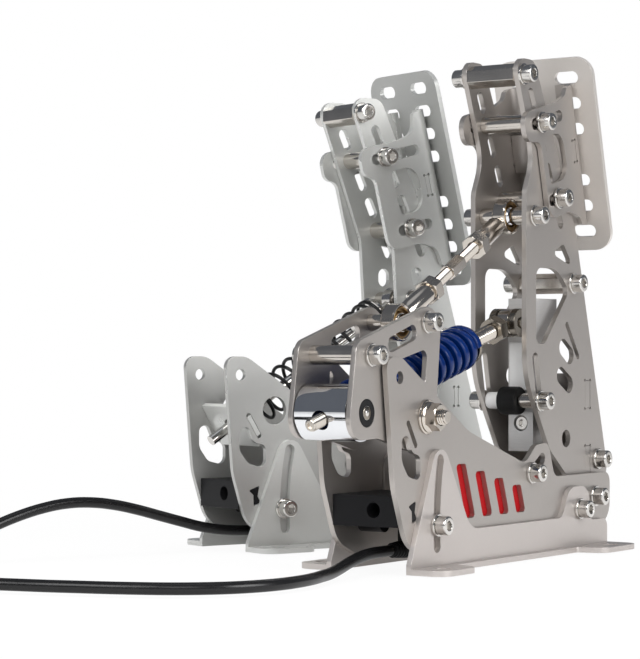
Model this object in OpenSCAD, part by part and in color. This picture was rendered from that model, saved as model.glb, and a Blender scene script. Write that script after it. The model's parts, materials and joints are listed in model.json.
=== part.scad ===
// Sim racing pedal set: a load cell brake unit and a throttle unit of cut steel plate.
// Millimetres. +X is the driver's right, +Y is the way the pedals are pressed, +Z is up.
// The origin lies on the floor, in the middle of the brake's four foot holes.

/* [Plates] */
// Thickness of every steel plate
plate_t = 3; // [2.5:0.5:4]
// Clear width between the two plates of a pedal arm
arm_gap = 30; // [28:1:34]
// Side gap between an arm plate and a base plate
arm_play = 2; // [1.6:0.2:3]
// Side gap between a rocker plate and a base plate
rocker_play = 1; // [0.6:0.2:1.6]
// Side gap between an arm plate and a face bracket
bracket_play = 0.4; // [0.3:0.1:0.8]

/* [Screws] */
// Diameter of the cap screws
screw_d = 6; // [5:0.5:6]
// Diameter of a cap screw's head
head_d = 10; // [9:0.5:11]
// Height of a cap screw's head
head_h = 6; // [4:0.5:7]
// Width of the hexagon socket across its corners
socket_d = 5.6; // [4:0.2:6]
// Depth of the hexagon socket
socket_deep = 3; // [2:0.5:3.5]
// Diameter of the washer under a head
washer_d = 12; // [11:0.5:13]
// Thickness of the washer under a head
washer_t = 1.6; // [1:0.2:2]
// Length of a screw below its washer
screw_reach = 14; // [12:1:16]
// Width added to a screw's clearance hole
hole_play = 0.5; // [0.3:0.1:0.8]
// Outer diameter of the spacer tubes
spacer_d = 10; // [9:0.5:11]

/* [Feet] */
// Distance between the rear and the front foot screws
foot_pitch = 155; // [150:1:165]
// Height of the foot screws above the floor
foot_screw_h = 24; // [23:0.5:25]
// Width of a floor tab
tab_w = 20; // [18:1:24]
// Width of the flange between the floor tabs
flange_w = 4; // [3:0.5:8]
// Length of the front floor tab
front_tab = 34; // [28:1:38]
// Length of the rear floor tab
rear_tab = 42; // [34:1:46]
// Diameter of a floor bolt hole
foot_hole_d = 8.4; // [6.4:0.2:9]
// Floor bolt hole from the foot's wall
foot_hole_out = 11; // [9:0.5:13]

/* [Arms] */
// The arm's pivot behind the rear foot screw
pivot_back = 24; // [22:0.5:26]
// Height of the arm's pivot
pivot_h = 30; // [29:0.5:31]
// Diameter of the pivot shaft
shaft_d = 10; // [9:0.5:11]
// Running gap round a shaft or pin, on the radius
run_gap = 0.2; // [0.15:0.05:0.3]
// Height of the brake arm's top screw
brake_top_h = 268; // [262:1:280]
// Height of the throttle arm's top screw
throttle_top_h = 255; // [250:1:262]
// Lean of the slot row in the upper arm
mast_lean = 25.5; // [24:0.5:27]
// Width of the slots in the upper arm
mast_slot_w = 6; // [4:0.5:7]
// Length of the slots in the upper arm
mast_slot_l = 13; // [9:0.5:14]
// Thickness of the cross plate in an arm
cross_t = 6; // [5:0.5:7]

/* [Pedal faces] */
// Lean of the pedal faces
face_lean = 14; // [12:0.5:16]
// Width of a pedal face
face_w = 65; // [58:1:72]
// Height of the brake's pedal face
brake_face_h = 113; // [106:1:120]
// Height of the throttle's pedal face
throttle_face_h = 132; // [126:1:140]
// Corner radius of a pedal face
face_r = 11; // [4:1:14]
// Length of the slots in a pedal face
face_slot_l = 15; // [10:0.5:16]
// Width of the slots in a pedal face
face_slot_w = 7; // [5:0.5:8]
// Distance of the slot columns from the middle
face_slot_x = 15.5; // [13:0.5:18]
// Distance between the bracket screws
bracket_pitch = 46; // [44:0.5:47]
// Outer radius of the bend between a bracket and its flange
bend_r = 8; // [6:0.5:9]

/* [Rocker] */
// The rocker's pivot ahead of the front foot screw
rocker_ahead = 5; // [3:0.5:7]
// Height of the rocker's pivot
rocker_h = 80; // [78:0.5:82]
// Diameter of the rocker's pivot bolt
rocker_bolt_d = 8; // [7:0.5:10]
// Diameter of the pivot hole in a base plate
rocker_hole_d = 16; // [14:0.5:17]
// Diameter of the cross barrel
barrel_d = 29; // [26:0.5:30]
// Diameter of the barrel's stub axles
stub_d = 7; // [6:0.5:9]

/* [Rods and springs] */
// Diameter of the brake's spring rod
brake_rod_d = 8; // [7:0.5:9]
// Gap round the brake's rod in the barrel, on the radius
barrel_gap = 1.1; // [0.9:0.1:1.5]
// Outer diameter of the brake's spring
brake_spring_d = 25; // [24:0.5:26]
// Width of the brake spring's wire, across the spring
brake_wire_w = 5; // [4:0.25:5.5]
// Height of the brake spring's wire, along the spring
brake_wire_h = 4.6; // [3.5:0.1:5]
// Turns of the brake's spring
brake_turns = 14; // [11:1:15]
// Diameter of the throttle's spring rod
throttle_rod_d = 6; // [5:0.5:7]
// Outer diameter of the throttle's spring
throttle_spring_d = 24; // [21:0.5:25]
// Wire of the throttle's spring
throttle_wire = 2.1; // [1.8:0.1:2.6]
// Turns of the throttle's spring
throttle_turns = 15; // [10:1:17]
// Diameter of a rod end's eye
eye_d = 20; // [18:0.5:21]
// Thickness of a rod end's eye
eye_t = 8; // [7:0.5:9]
// Ball of the brake link's lower rod end
ball_d = 12.5; // [11.5:0.5:13]
// Gap round that ball, where the linkage is open
ball_gap = 1.1; // [0.9:0.1:1.4]

/* [Cables] */
// Diameter of a cable
cable_d = 6; // [6:0.5:6.5]
// Diameter of a coil at the middle of its turns
coil_d = 62; // [60:1:70]
// Turns in each of the two layers of a coil
coil_turns = 2.5; // [1.5:0.5:3.5]
// Gap between the turns of a coil
coil_gap = 0.6; // [0.5:0.1:1]

/* [Places] */
// Throttle unit to the right of the brake unit
throttle_x = 112; // [108:1:140]
// Throttle unit ahead of the brake unit
throttle_y = -68; // [-90:1:-62]
// Turn of the throttle unit, its front to the right
throttle_turn = 20.5; // [18:0.5:22]

/* [Hidden] */
$fn = 48;
eps = 0.01;
// A slot's straight sides stand this far inside its round ends, so that they cross and don't just touch
seam = 0.02;

// Colours as the photograph shows them
steel = [0.72, 0.71, 0.69];
warm_steel = [0.72, 0.69, 0.66];
bright = [0.86, 0.86, 0.87];
dark_steel = [0.3, 0.29, 0.28];
black = [0.07, 0.07, 0.08];
blue = [0.05, 0.16, 0.55];
red = [0.72, 0.08, 0.08];
white = [0.93, 0.93, 0.92];
alloy = [0.78, 0.78, 0.78];
green = [0.1, 0.35, 0.2];

// Places across a unit, from its middle plane
arm_in = arm_gap / 2;
arm_out = arm_in + plate_t;
base_in = arm_out + arm_play;
base_out = base_in + plate_t;
foot_out = base_out + plate_t;
rocker_in = base_in - plate_t - rocker_play;
rocker_out = rocker_in + plate_t;
bracket_in = arm_out + bracket_play;
bracket_out = bracket_in + plate_t;
screw_hole = screw_d + hole_play;
relief_d = 1.8;

// Places in a unit's side view: forward of the rear foot screw, and up
fp = foot_pitch;
rear_screw = [0, foot_screw_h];
front_screw = [fp, foot_screw_h];
arm_pivot = [-pivot_back, pivot_h];
stop_screw = [50, 46.5];
rocker_pivot = [fp + rocker_ahead, rocker_h];
front_hole_y = fp + 12;
rear_hole_y = -17;
hole_mid = (front_hole_y + rear_hole_y) / 2;
base_top = 43.5;

// Upper arm: the top screw, the slot row and the two bracket screws below it
brake_top = [51, brake_top_h];
throttle_top = [94, throttle_top_h];
row_dir = [-sin(mast_lean), -cos(mast_lean)];
row_front = [cos(mast_lean), -sin(mast_lean)];
row_start = [-11, -13];
row_steps = [0, 27, 45, 72];
bracket_first = 13;
bracket_ahead = 2.5;
function row_point(top, along, ahead = 0) = top + row_start + along * row_dir + ahead * row_front;
function bracket_screws(top) =
    [for (i = [0, 1]) row_point(top, bracket_first + i * bracket_pitch, bracket_ahead)];

// Pedal faces: the middle of the front surface, from the upper bracket screw
face_up = [sin(face_lean), cos(face_lean)];
face_out = [cos(face_lean), -sin(face_lean)];
brake_reach = [46.5, 26.5];
throttle_reach = [38.5, 21];
function face_middle(top, reach) =
    bracket_screws(top)[0] - reach.x * face_out - reach.y * face_up;
bracket_drop = bracket_pitch * cos(mast_lean - face_lean);
bracket_step = bracket_pitch * sin(mast_lean - face_lean);

// Brake linkage points at rest
link_top = [38, brake_top_h - 78];
link_low = rocker_pivot + [-7, 49];
rocker_spacer = rocker_pivot + [46, 32];
barrel_pin = rocker_pivot + [50, 3];
rod_pin = [36, 130];
load_front = 22;
load_depth = 28;
load_w = 16;
load_low = 57;
load_high = 144;
bumper_pin = [32, 86];
arm_low_screw = [-37, 51];
arm_mid_screw = [-7, 153];

// Throttle spring points at rest
plate_mid = [fp + 19.25, 71.5];
plate_lean = 32;
throttle_rod_l = 139;
throttle_pin = plate_mid + throttle_rod_l * [-cos(plate_lean), sin(plate_lean)];
throttle_knee = [55, 140.5];
throttle_low_screw = [32, 122];

// Sensor housing behind the front foot screws, and the cable's outlet under it
housing_front = fp + 28;
housing_back = fp - 18;
housing_low = 24;
housing_high = 40;
lug_mid = [fp + 18.2, 31.5];
lug_shape = [[4.5, 3.2, 0.6], [-2.8, 5.8, 0.6], [-1.5, -0.1, 1], [-3.7, -4.1, 0.6], [1.1, -5.7, 0.6], [1.3, 0.6, 1]];
outlet_h = 10;
outlet_back = fp - 14;
gland_l = 18;
cable_r = cable_d / 2;

// Rounds the corners of an outline given as [y, z, radius]
function unit(v) = v / norm(v);
function corner(a, b, c, steps) =
    let (u = unit([a.x - b.x, a.y - b.y]), v = unit([c.x - b.x, c.y - b.y]),
         half = acos(max(-1, min(1, u * v))) / 2,
         room = 0.48 * min(norm([a.x - b.x, a.y - b.y]), norm([c.x - b.x, c.y - b.y])),
         run = min(b.z / tan(half), room), r = run * tan(half),
         mid = [b.x, b.y] + unit(u + v) * run / cos(half),
         turn = sign(u.x * v.y - u.y * v.x), sweep = 180 - 2 * half,
         first = atan2(b.y + u.y * run - mid.y, b.x + u.x * run - mid.x))
    b.z == 0 ? [[b.x, b.y]] :
    [for (i = [0 : steps]) mid + r * [cos(first - turn * sweep * i / steps),
                                      sin(first - turn * sweep * i / steps)]];
function rounded(p, steps = 6) =
    [for (i = [0 : len(p) - 1])
        each corner(p[(i + len(p) - 1) % len(p)], p[i], p[(i + 1) % len(p)], steps)];
function at(p, d, r = 0) = [p.x + d.x, p.y + d.y, r];

// A side view shape made a plate, from x onwards
module plate(x, t = plate_t) {
    translate([x, 0, 0]) rotate([90, 0, 90]) linear_extrude(t) children();
}

// A plate on one side of a unit, with its inner face at a distance from the middle
module side_plate(inner, side, t = plate_t) {
    plate(side > 0 ? inner : -inner - t, t) children();
}

// A straight slot between two points of a side view
module slot(a, b, w) {
    translate(a) circle(d = w);
    translate(b) circle(d = w);
    side = w / 2 - seam;
    translate(a) rotate(atan2(b.y - a.y, b.x - a.x)) translate([0, -side]) square([norm(b - a), 2 * side]);
}

module hole(p, d) {
    translate(p) circle(d = d);
}

// A hole for a plate's tab, with round reliefs in its corners
module tab_hole(mid, size, turn = 0) {
    translate(mid) rotate(turn) {
        square(size, center = true);
        for (x = [-0.5, 0.5], y = [-0.5, 0.5]) translate([x * size.x, y * size.y]) circle(d = relief_d);
    }
}

// Round bar across a unit
module bar(p, d, x0, x1, sides = $fn) {
    translate([x0, p.x, p.y]) rotate([0, 90, 0]) cylinder(h = x1 - x0, d = d, $fn = sides);
}

module tube(p, d, bore, x0, x1, sides = $fn) {
    difference() {
        bar(p, d, x0, x1, sides);
        bar(p, bore, x0 - 1, x1 + 1);
    }
}

// Cap screw with its washer, seated on a face at one side of a unit
module screw(p, face, side, reach = screw_reach) {
    translate([side * face, p.x, p.y]) rotate([0, side * 90, 0]) {
        difference() {
            union() {
                cylinder(h = washer_t, d = washer_d);
                cylinder(h = washer_t + head_h, d = head_d);
            }
            translate([0, 0, washer_t + head_h - socket_deep])
                cylinder(h = socket_deep + 1, d = socket_d, $fn = 6);
        }
        translate([0, 0, -reach]) cylinder(h = reach + washer_t, d = screw_d);
    }
}

module screw_pair(p, face, reach = screw_reach) {
    for (side = [-1, 1]) screw(p, face, side, reach);
}

module in_brake() {
    translate([0, -hole_mid, 0]) children();
}

module in_throttle() {
    translate([throttle_x, throttle_y, 0]) rotate(-throttle_turn) in_brake() children();
}

module in_both() {
    in_brake() children();
    in_throttle() children();
}

// Turns a frame so that its Z runs along a rod in the side view
module along(a, b) {
    translate([0, a.x, a.y]) rotate([atan2(b.y - a.y, b.x - a.x) - 90, 0, 0]) children();
}

// Sections and sweeps of tubes: rings of points joined by triangles
function ring_faces(rings, n) = concat(
    [for (i = [0 : rings - 2], k = [0 : n - 1]) each
        let (a = i * n + k, b = i * n + (k + 1) % n) [[a, b, a + n], [b, b + n, a + n]]],
    [for (k = [1 : n - 2]) each [[0, k + 1, k],
        [(rings - 1) * n, (rings - 1) * n + k, (rings - 1) * n + k + 1]]]);
function path_rings(p, r, n) = [for (i = [0 : len(p) - 1])
    let (ahead = unit(p[min(i + 1, len(p) - 1)] - p[max(i - 1, 0)]),
         side = unit(cross(ahead, [0, 0, 1])), up = cross(side, ahead))
    [for (k = [0 : n - 1]) p[i] + r * (cos(360 * k / n) * side + sin(360 * k / n) * up)]];
module sweep(rings) {
    n = len(rings[0]);
    polyhedron([for (ring = rings) each ring], ring_faces(len(rings), n), convexity = 10);
}
function least_gap(rings, apart) = min([for (i = [0 : len(rings) - 1 - apart])
    min([for (a = rings[i], b = rings[i + apart]) norm(a - b)])]);

// Spring along Z: one closed turn at each end, even turns between
ring_steps = 8;
end_gap = 0.7;
function spring_height(t, turns, l, wire) =
    let (flat = wire + end_gap, rise = (l - wire - 2 * flat) / (turns - 2))
    wire / 2 + (t < 1 ? flat * t : t > turns - 1 ? flat + rise * (turns - 2) + flat * (t - turns + 1)
        : flat + rise * (t - 1));
function spring_rings(d, w, h, turns, l) =
    let (mid = d / 2 - w / 2, section = [[-0.5, -0.25], [-0.5, 0.25], [0, 0.5],
                                         [0.5, 0.25], [0.5, -0.25], [0, -0.5]])
    [for (i = [0 : turns * ring_steps])
        let (t = i / ring_steps, a = 360 * t, z = spring_height(t, turns, l, h))
        [for (s = section) [(mid + s.x * w) * cos(a), (mid + s.x * w) * sin(a), z + s.y * h]]];

// Feet
foot_front = fp + 25;
foot_outline = [
    [-34, 0, 0], [-34, 17, 5], [-13, 17, 4], at(rear_screw, [-12, 13], 11),
    at(rear_screw, [12, 13], 11), [20, 20, 8], [fp - 34, 20, 14], [fp - 3, 73, 8],
    [foot_front, 5, 4], [foot_front, 0, 0]
];
arc_top = atan2(34, fp);
arc_low = atan2(-11, fp);
arc_steps = 10;
function foot_arc(r) = [for (i = [0 : arc_steps])
    let (a = arc_low + (arc_top - arc_low) * i / arc_steps) rear_screw + r * [cos(a), sin(a)]];
module foot_slot() {
    outer = foot_arc(fp + screw_hole / 2);
    inner = foot_arc(fp - screw_hole / 2);
    polygon(concat(outer, [for (i = [arc_steps : -1 : 0]) inner[i]]));
    for (a = [arc_low, arc_top]) hole(rear_screw + fp * [cos(a), sin(a)], screw_hole);
}
module foot(side) {
    edge = [
        [0, -36, 3], [0, foot_front, 3], [plate_t + tab_w, foot_front, 9],
        [plate_t + tab_w, foot_front - front_tab, 9],
        [plate_t + flange_w, foot_front - front_tab - 4, 3],
        [plate_t + flange_w, rear_tab - 32, 3], [plate_t + tab_w, rear_tab - 36, 9],
        [plate_t + tab_w, -36, 9]
    ];
    difference() {
        union() {
            side_plate(base_out, side) difference() {
                polygon(rounded(foot_outline));
                hole(rear_screw, screw_hole);
                foot_slot();
            }
            mirror([side > 0 ? 0 : 1, 0, 0]) translate([base_out, 0, 0])
                linear_extrude(plate_t) polygon(rounded(edge));
        }
        for (y = [front_hole_y, rear_hole_y])
            translate([side * (foot_out + foot_hole_out), y, -1])
                cylinder(h = plate_t + 2, d = foot_hole_d);
    }
}

// Base plates, alike on both units but for their front
brake_front = 38.5;
throttle_front = 33.5;
function base_outline(front) = [
    at(arm_pivot, [-19, base_top - pivot_h], 6), [stop_screw.x - 26, base_top, 6],
    at(stop_screw, [-19, 16.5], 6), at(stop_screw, [-5, 15.5], 8),
    [stop_screw.x + 7, base_top + 8.5, 10], [fp - 37, 71.5, 40], at(rocker_pivot, [front - 14.5, 31], 14),
    at(rocker_pivot, [front, 31], 11.5), [fp + front / 2 + 16.5, 45, 40], [fp + 24, 15, 18], [fp + 5, 7, 14],
    [0, 9, 10], at(arm_pivot, [-19, -15], 13)
];
pocket_outline = [
    [fp + 29, 70, 4], [fp + 23, 71, 3], [fp + 19, 62, 5], [fp + 11, 60, 4], [fp + 11, 47, 4],
    [fp + 23, 50, 6], [fp + 29, 58, 8]
];
vent_count = 4;
vent_pitch = 18;
vent_w = 10;
vent_low = 25.5;
vent_slant = 0.35;
module vents() {
    for (i = [0 : vent_count - 1]) {
        y = fp - 44 - i * vent_pitch;
        h = 29 - 4.6 * i;
        polygon(rounded([[y, vent_low, 2], [y + vent_w, vent_low, 2],
            [y + vent_w + vent_slant * h, vent_low + h, 2], [y + vent_slant * h, vent_low + h, 2]], 3));
    }
}
tab_slot_l = 13;
tab_play = 0.2;
module lug(size = 1) {
    polygon(rounded([for (p = lug_shape) at(lug_mid, size * p, p.z)], 3));
}
module base_plate(side, front) {
    reach = (tab_slot_l + tab_play) / 2 * [sin(plate_lean), cos(plate_lean)];
    side_plate(base_in, side) difference() {
        polygon(rounded(base_outline(front)));
        hole(rear_screw, screw_hole);
        hole(front_screw, screw_hole);
        hole(arm_pivot, screw_hole);
        hole(rocker_pivot, rocker_hole_d);
        hole(rocker_pivot + [front / 2 + 6.5, 20.5], screw_hole);
        slot(stop_screw, stop_screw + [-12, 7.5], screw_hole);
        polygon(rounded(pocket_outline));
        slot(plate_mid - reach, plate_mid + reach, plate_t + tab_play);
        lug();
        vents();
    }
}

// Housing between the base plates, with lugs in their holes and an outlet for the cable
board_back = housing_back + 6;
module sensor_housing() {
    color(black) difference() {
        union() {
            translate([-base_in, housing_back, housing_low])
                cube([2 * base_in, housing_front - housing_back, housing_high - housing_low]);
            translate([-7, outlet_back - 8, outlet_h - 5]) cube([14, 8, housing_low - outlet_h + 6]);
            for (side = [0, 1]) mirror([side, 0, 0]) bar(front_screw, screw_d + 4, base_in - 14, base_in);
            plate(-base_out, 2 * base_out) lug(0.93);
        }
        translate([-15, housing_back - 1, housing_high - 11]) cube([30, 24, 8]);
        for (side = [-1, 1]) bar(front_screw, screw_d + 0.2, side * base_in - 13, side * base_in + 13);
        translate([-5, housing_front - 12, 32.5]) rotate([-90, 0, 0]) cylinder(h = 13, d = 8);
    }
}
module sensor_boards() {
    color(green) in_both() {
        translate([-14.8, board_back, housing_high - 11]) cube([29.6, 16, 1.6]);
        translate([-5, board_back + 3, housing_high - 9.4]) cube([10, 8, 1.8]);
    }
}
module cable_glands() {
    color(black) in_both() translate([0, outlet_back, outlet_h]) rotate([-90, 0, 0]) {
        cylinder(h = gland_l, d1 = cable_d + 3.4, d2 = cable_d + 0.6);
        cylinder(h = 4, d = cable_d + 3.8);
    }
}

module base_spacers() {
    color(bright) in_both() {
        for (p = [rear_screw, stop_screw])
            tube(p, spacer_d, screw_d + 0.2, -base_in, base_in);
    }
}
module base_screws() {
    color(bright) in_both() {
        for (p = [rear_screw, front_screw]) screw_pair(p, foot_out);
        for (p = [stop_screw, arm_pivot]) screw_pair(p, base_out);
    }
}
module arm_pivot_shafts() {
    color(bright) in_both() {
        difference() {
            bar(arm_pivot, shaft_d, -base_in, base_in);
            for (side = [-1, 1]) bar(arm_pivot, screw_d + 0.2, side * base_in - 15, side * base_in + 15);
        }
        for (side = [-1, 1]) {
            mid = side * (arm_out + arm_play / 2);
            tube(arm_pivot, shaft_d + 6, shaft_d + 0.3, mid - arm_play / 2 + 0.2, mid + arm_play / 2 - 0.2);
        }
    }
}

// Rocker pivot: on each side a stub bolt with a flat head inside, a bush in the base plate, washer and nut
nut_h = 7;
stub_head_t = 2;
module rocker_pivot_bolts() {
    nut_face = base_out + washer_t + 0.1;
    color(bright) in_brake() for (side = [0, 1]) mirror([side, 0, 0]) {
        bar(rocker_pivot, rocker_bolt_d + 5, rocker_in - 0.3 - stub_head_t, rocker_in - 0.3);
        bar(rocker_pivot, rocker_bolt_d, rocker_in - 0.3 - eps, nut_face + nut_h + 4);
        tube(rocker_pivot, rocker_hole_d - 0.2, rocker_bolt_d + 0.1, base_in, base_out);
        tube(rocker_pivot, rocker_hole_d + 2, rocker_bolt_d + 0.1, base_out, base_out + washer_t);
        tube(rocker_pivot, 1.8 * rocker_bolt_d, rocker_bolt_d + 0.1, nut_face, nut_face + nut_h, 6);
    }
}

panel_t = 1.5;
module brake_red_panels() {
    front = housing_back - 1;
    outline = [[fp - 99, 21, 3], [front, 21, 4], [front, 60, 8], [fp - 40, 60, 12], [fp - 99, 43, 6]];
    color(red) in_brake() for (side = [-1, 1])
        side_plate(base_in - panel_t, side, panel_t) polygon(rounded(outline));
}

spring_plate_h = 27;
module throttle_spring_plate() {
    color(steel) in_throttle() translate([0, plate_mid.x, plate_mid.y]) rotate([-plate_lean, 0, 0])
        difference() {
            union() {
                translate([-base_in + 0.1, -plate_t / 2, -spring_plate_h / 2])
                    cube([2 * base_in - 0.2, plate_t, spring_plate_h]);
                translate([-base_out, -plate_t / 2, -tab_slot_l / 2])
                    cube([2 * base_out, plate_t, tab_slot_l]);
            }
            rotate([90, 0, 0]) cylinder(h = plate_t + 2, d = throttle_rod_d + 3, center = true);
        }
}

// Arm plates
module mast_cuts(top) {
    hole(top, screw_hole);
    half = (mast_slot_l - mast_slot_w) / 2;
    for (s = row_steps) slot(row_point(top, s - half), row_point(top, s + half), mast_slot_w);
    for (p = bracket_screws(top)) hole(p, screw_hole);
}
brake_arm_outline = [
    at(arm_pivot, [-25, 17], 5), at(arm_mid_screw, [-3.5, 31], 40), at(brake_top, [-13.5, 9], 8),
    at(brake_top, [9, 9], 8), at(brake_top, [-13, -46], 25), at(link_top, [9, 13], 10),
    at(bumper_pin, [15, 14], 45), at(bumper_pin, [-12, -28], 20), at(arm_pivot, [15, 6], 8),
    at(arm_pivot, [14, -14], 10), at(arm_pivot, [-16, -14], 14)
];
brake_window = [[36, 161, 6], [12, 161, 20], [-3, 148.5, 5], [26, 118, 7], [36, 118, 5]];
brake_corner_hole = [[18, 169.5, 2], [4, 175.5, 3], [-8, 162, 2]];
brake_cross = [-25, 70];
brake_cross_h = 62;
cross_tab_h = 16;
cross_tab_mids = [for (end = [-1, 1]) brake_cross + [0, end * (brake_cross_h - cross_tab_h - 8) / 2]];
module brake_arm_plate(side) {
    color(warm_steel) in_brake() side_plate(arm_in, side) difference() {
        polygon(rounded(brake_arm_outline));
        mast_cuts(brake_top);
        hole(arm_pivot, shaft_d + 2 * run_gap);
        for (p = [link_top, arm_mid_screw, arm_low_screw]) hole(p, screw_hole);
        slot(bumper_pin, bumper_pin + [5, 24], screw_hole);
        polygon(rounded(brake_window));
        polygon(rounded(brake_corner_hole, 3));
        slot([4, 116], [-3, 111.5], 10);
        slot([7, 100], [-2, 95], 10);
        slot([0, 129], [-13, 111], plate_t + 0.5);
        hole([1, 64], 10);
        for (mid = cross_tab_mids) tab_hole(mid, [cross_t + 0.3, cross_tab_h + 0.3]);
    }
}
module brake_arm_cross_plate() {
    color(warm_steel) in_brake() {
        plate(-arm_in + 0.1, 2 * arm_in - 0.2) translate(brake_cross)
            square([cross_t, brake_cross_h], center = true);
        plate(-arm_out, 2 * arm_out) for (mid = cross_tab_mids)
            translate(mid) square([cross_t, cross_tab_h], center = true);
        back = brake_cross.x + cross_t / 2 - eps;
        translate([-load_w / 2, back, load_low])
            cube([load_w, load_front - load_depth - back, 23]);
    }
}
link_side = eye_t / 2 + 0.5;
slide_gap = 0.3;
module brake_arm_spacers() {
    color(bright) in_brake() {
        tube(brake_top, spacer_d * 1.3, screw_d + 0.2, -arm_in, arm_in, 6);
        tube(arm_mid_screw, spacer_d * 1.2, screw_d + 0.2, -arm_in, arm_in, 6);
        tube(arm_low_screw, spacer_d, screw_d + 0.2, -arm_in, arm_in);
        for (p = bracket_screws(brake_top)) tube(p, spacer_d, screw_d + 0.2, -arm_in, arm_in);
        bar(link_top, screw_d - 0.2, -arm_in + screw_reach - plate_t, arm_in - screw_reach + plate_t);
        for (side = [0, 1]) mirror([side, 0, 0])
            tube(link_top, spacer_d, screw_d + 0.2, link_side, arm_in);
        tube(bumper_pin, spacer_d * 0.85, screw_d + 0.2, -arm_in, bumper_x[0] - 0.3);
    }
}
module brake_arm_screws() {
    color(bright) in_brake() {
        for (p = [brake_top, arm_mid_screw, arm_low_screw, link_top, bumper_pin]) screw_pair(p, arm_out);
        for (p = bracket_screws(brake_top))
            screw_pair(p, bracket_out + slide_gap, screw_reach + plate_t + bracket_play);
    }
}

// Load cell: a bar with a cut middle, its cover, and the clevis that takes the rod
load_cut_low = 92;
load_cut_high = 119;
module brake_load_cell() {
    color(alloy) in_brake() difference() {
        translate([-load_w / 2, load_front - load_depth, load_low])
            cube([load_w, load_depth, load_high - load_low]);
        for (z = [load_cut_low + 7, load_cut_high - 7])
            bar([load_front - load_depth / 2, z], 11, -load_w, load_w);
        translate([-load_w, load_front - load_depth / 2 - 2, load_cut_low + 7])
            cube([2 * load_w, 4, load_cut_high - load_cut_low - 14]);
        translate([0, load_front - 5, 73]) rotate([-90, 0, 0]) cylinder(h = 6, d = 9);
    }
}
cover_t = 2.5;
cover_w = 12;
module brake_load_cell_potting() {
    color(white) in_brake() translate([-cover_w / 2, load_front, load_cut_low])
        cube([cover_w, cover_t, load_cut_high - load_cut_low]);
}
clevis_gap = eye_t + 0.8;
module brake_rod_clevis() {
    r = 8;
    root = load_front;
    color(dark_steel) in_brake() {
        difference() {
            plate(-clevis_gap / 2 - 4, clevis_gap + 8) union() {
                translate([root, rod_pin.y - r]) square([rod_pin.x - root, 2 * r]);
                hole(rod_pin, 2 * r);
            }
            translate([-clevis_gap / 2, rod_pin.x - 10.5, 0]) cube([clevis_gap, 40, 200]);
            bar(rod_pin, screw_d + 0.2, -20, 20);
        }
        bar(rod_pin, screw_d, -clevis_gap / 2 - 5, clevis_gap / 2 + 5);
    }
}
bumper_d = 16;
bumper_x = [-5.8, 6.3];
module brake_bumper() {
    color(black) in_brake() tube(bumper_pin, bumper_d, screw_d + 0.4, bumper_x[0], bumper_x[1]);
}
module brake_bumper_spacer() {
    color(white) in_brake() tube(bumper_pin, 9.5, screw_d + 0.4, bumper_x[1] + 0.1, arm_in);
}

// Pedal faces and their brackets, in a frame with Y away from the face and Z up it
module in_face(top, reach) {
    m = face_middle(top, reach);
    translate([0, m.x, m.y]) rotate([-face_lean, 0, 0]) children();
}
module face_plate(h, rows, pitch) {
    rotate([90, 0, 0]) linear_extrude(plate_t) difference() {
        polygon(rounded([[-face_w / 2, -h / 2, face_r], [face_w / 2, -h / 2, face_r],
            [face_w / 2, h / 2, face_r], [-face_w / 2, h / 2, face_r]], 8));
        half = (face_slot_l - face_slot_w) / 2;
        for (i = [0 : rows - 1], x = [-face_slot_x, face_slot_x]) if (i != (rows - 1) / 2) {
            z = (i - (rows - 1) / 2) * pitch;
            slot([x - half, z], [x + half, z], face_slot_w);
        }
    }
}
// A bracket is cut from plate and bent inwards against the face: the ends are how far its bend runs above
// the upper screw and below the lower one
brake_ends = [15, 21];
throttle_ends = [22.5, 27.5];
lobe_out = 18;
lobe_r = 8;
bracket_wall = 48.5;
flange_in = 9;
window_y = 17;
slot_in = [22.5, 12.5];
slot_out = 7;
bend_steps = 8;
function bend_arc(r, first) = [for (i = [0 : bend_steps])
    let (a = first + (first < 0 ? 1 : -1) * 90 * i / bend_steps)
    [bracket_out - bend_r, bend_r] + r * [cos(a), sin(a)]];
module face_bracket_shape(reach, ends) {
    high = reach.y;
    low = high - bracket_drop;
    screws = [[reach.x, high], [reach.x - bracket_step, low]];
    lobe = reach.x + lobe_out;
    difference() {
        polygon(rounded([[bend_r, high + ends[0], 0], [bend_r + 4, high + ends[0] - 1, 1.5],
            [bend_r + 7, high + 10, 8], [bend_r + 18, high + lobe_r, 8], [lobe, high + lobe_r, lobe_r - 0.5],
            [lobe, high - lobe_r, lobe_r - 0.5], [bracket_wall, high - lobe_r - 3, 6],
            [bracket_wall, low - 10, 8], [26, low - 10, 9], [bend_r + 6, low - 15, 8],
            [bend_r + 4, low - ends[1] + 1, 1.5], [bend_r, low - ends[1], 0]]));
        for (i = [0, 1])
            slot(screws[i] - [slot_in[i], 0], screws[i] + [slot_out, 0], screw_hole);
        polygon(rounded([[reach.x - 2, high - 9, 3], [max(window_y, reach.x - 23), high - 9, 9],
            [max(window_y, reach.x - 25), low + 9, 9], [reach.x - 3, low + 9, 3]]));
        tab_hole([face_tab_y, high - bracket_drop / 2], [plate_t + 0.3, face_tab_h + 0.3]);
    }
}
face_tab_h = 12;
face_tab_y = bend_r + 3;
module face_brackets(reach, ends) {
    low = reach.y - bracket_drop - ends[1];
    bend = concat([[flange_in, 0]], bend_arc(bend_r, -90), [[bracket_out, bend_r + 0.3],
        [bracket_in, bend_r + 0.3]], bend_arc(bend_r - plate_t, 0), [[flange_in, plate_t]]);
    for (side = [-1, 1]) {
        side_plate(bracket_in, side) face_bracket_shape(reach, ends);
        mirror([side > 0 ? 0 : 1, 0, 0]) translate([0, 0, low])
            linear_extrude(reach.y + ends[0] - low) polygon(bend);
    }
}
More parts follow.
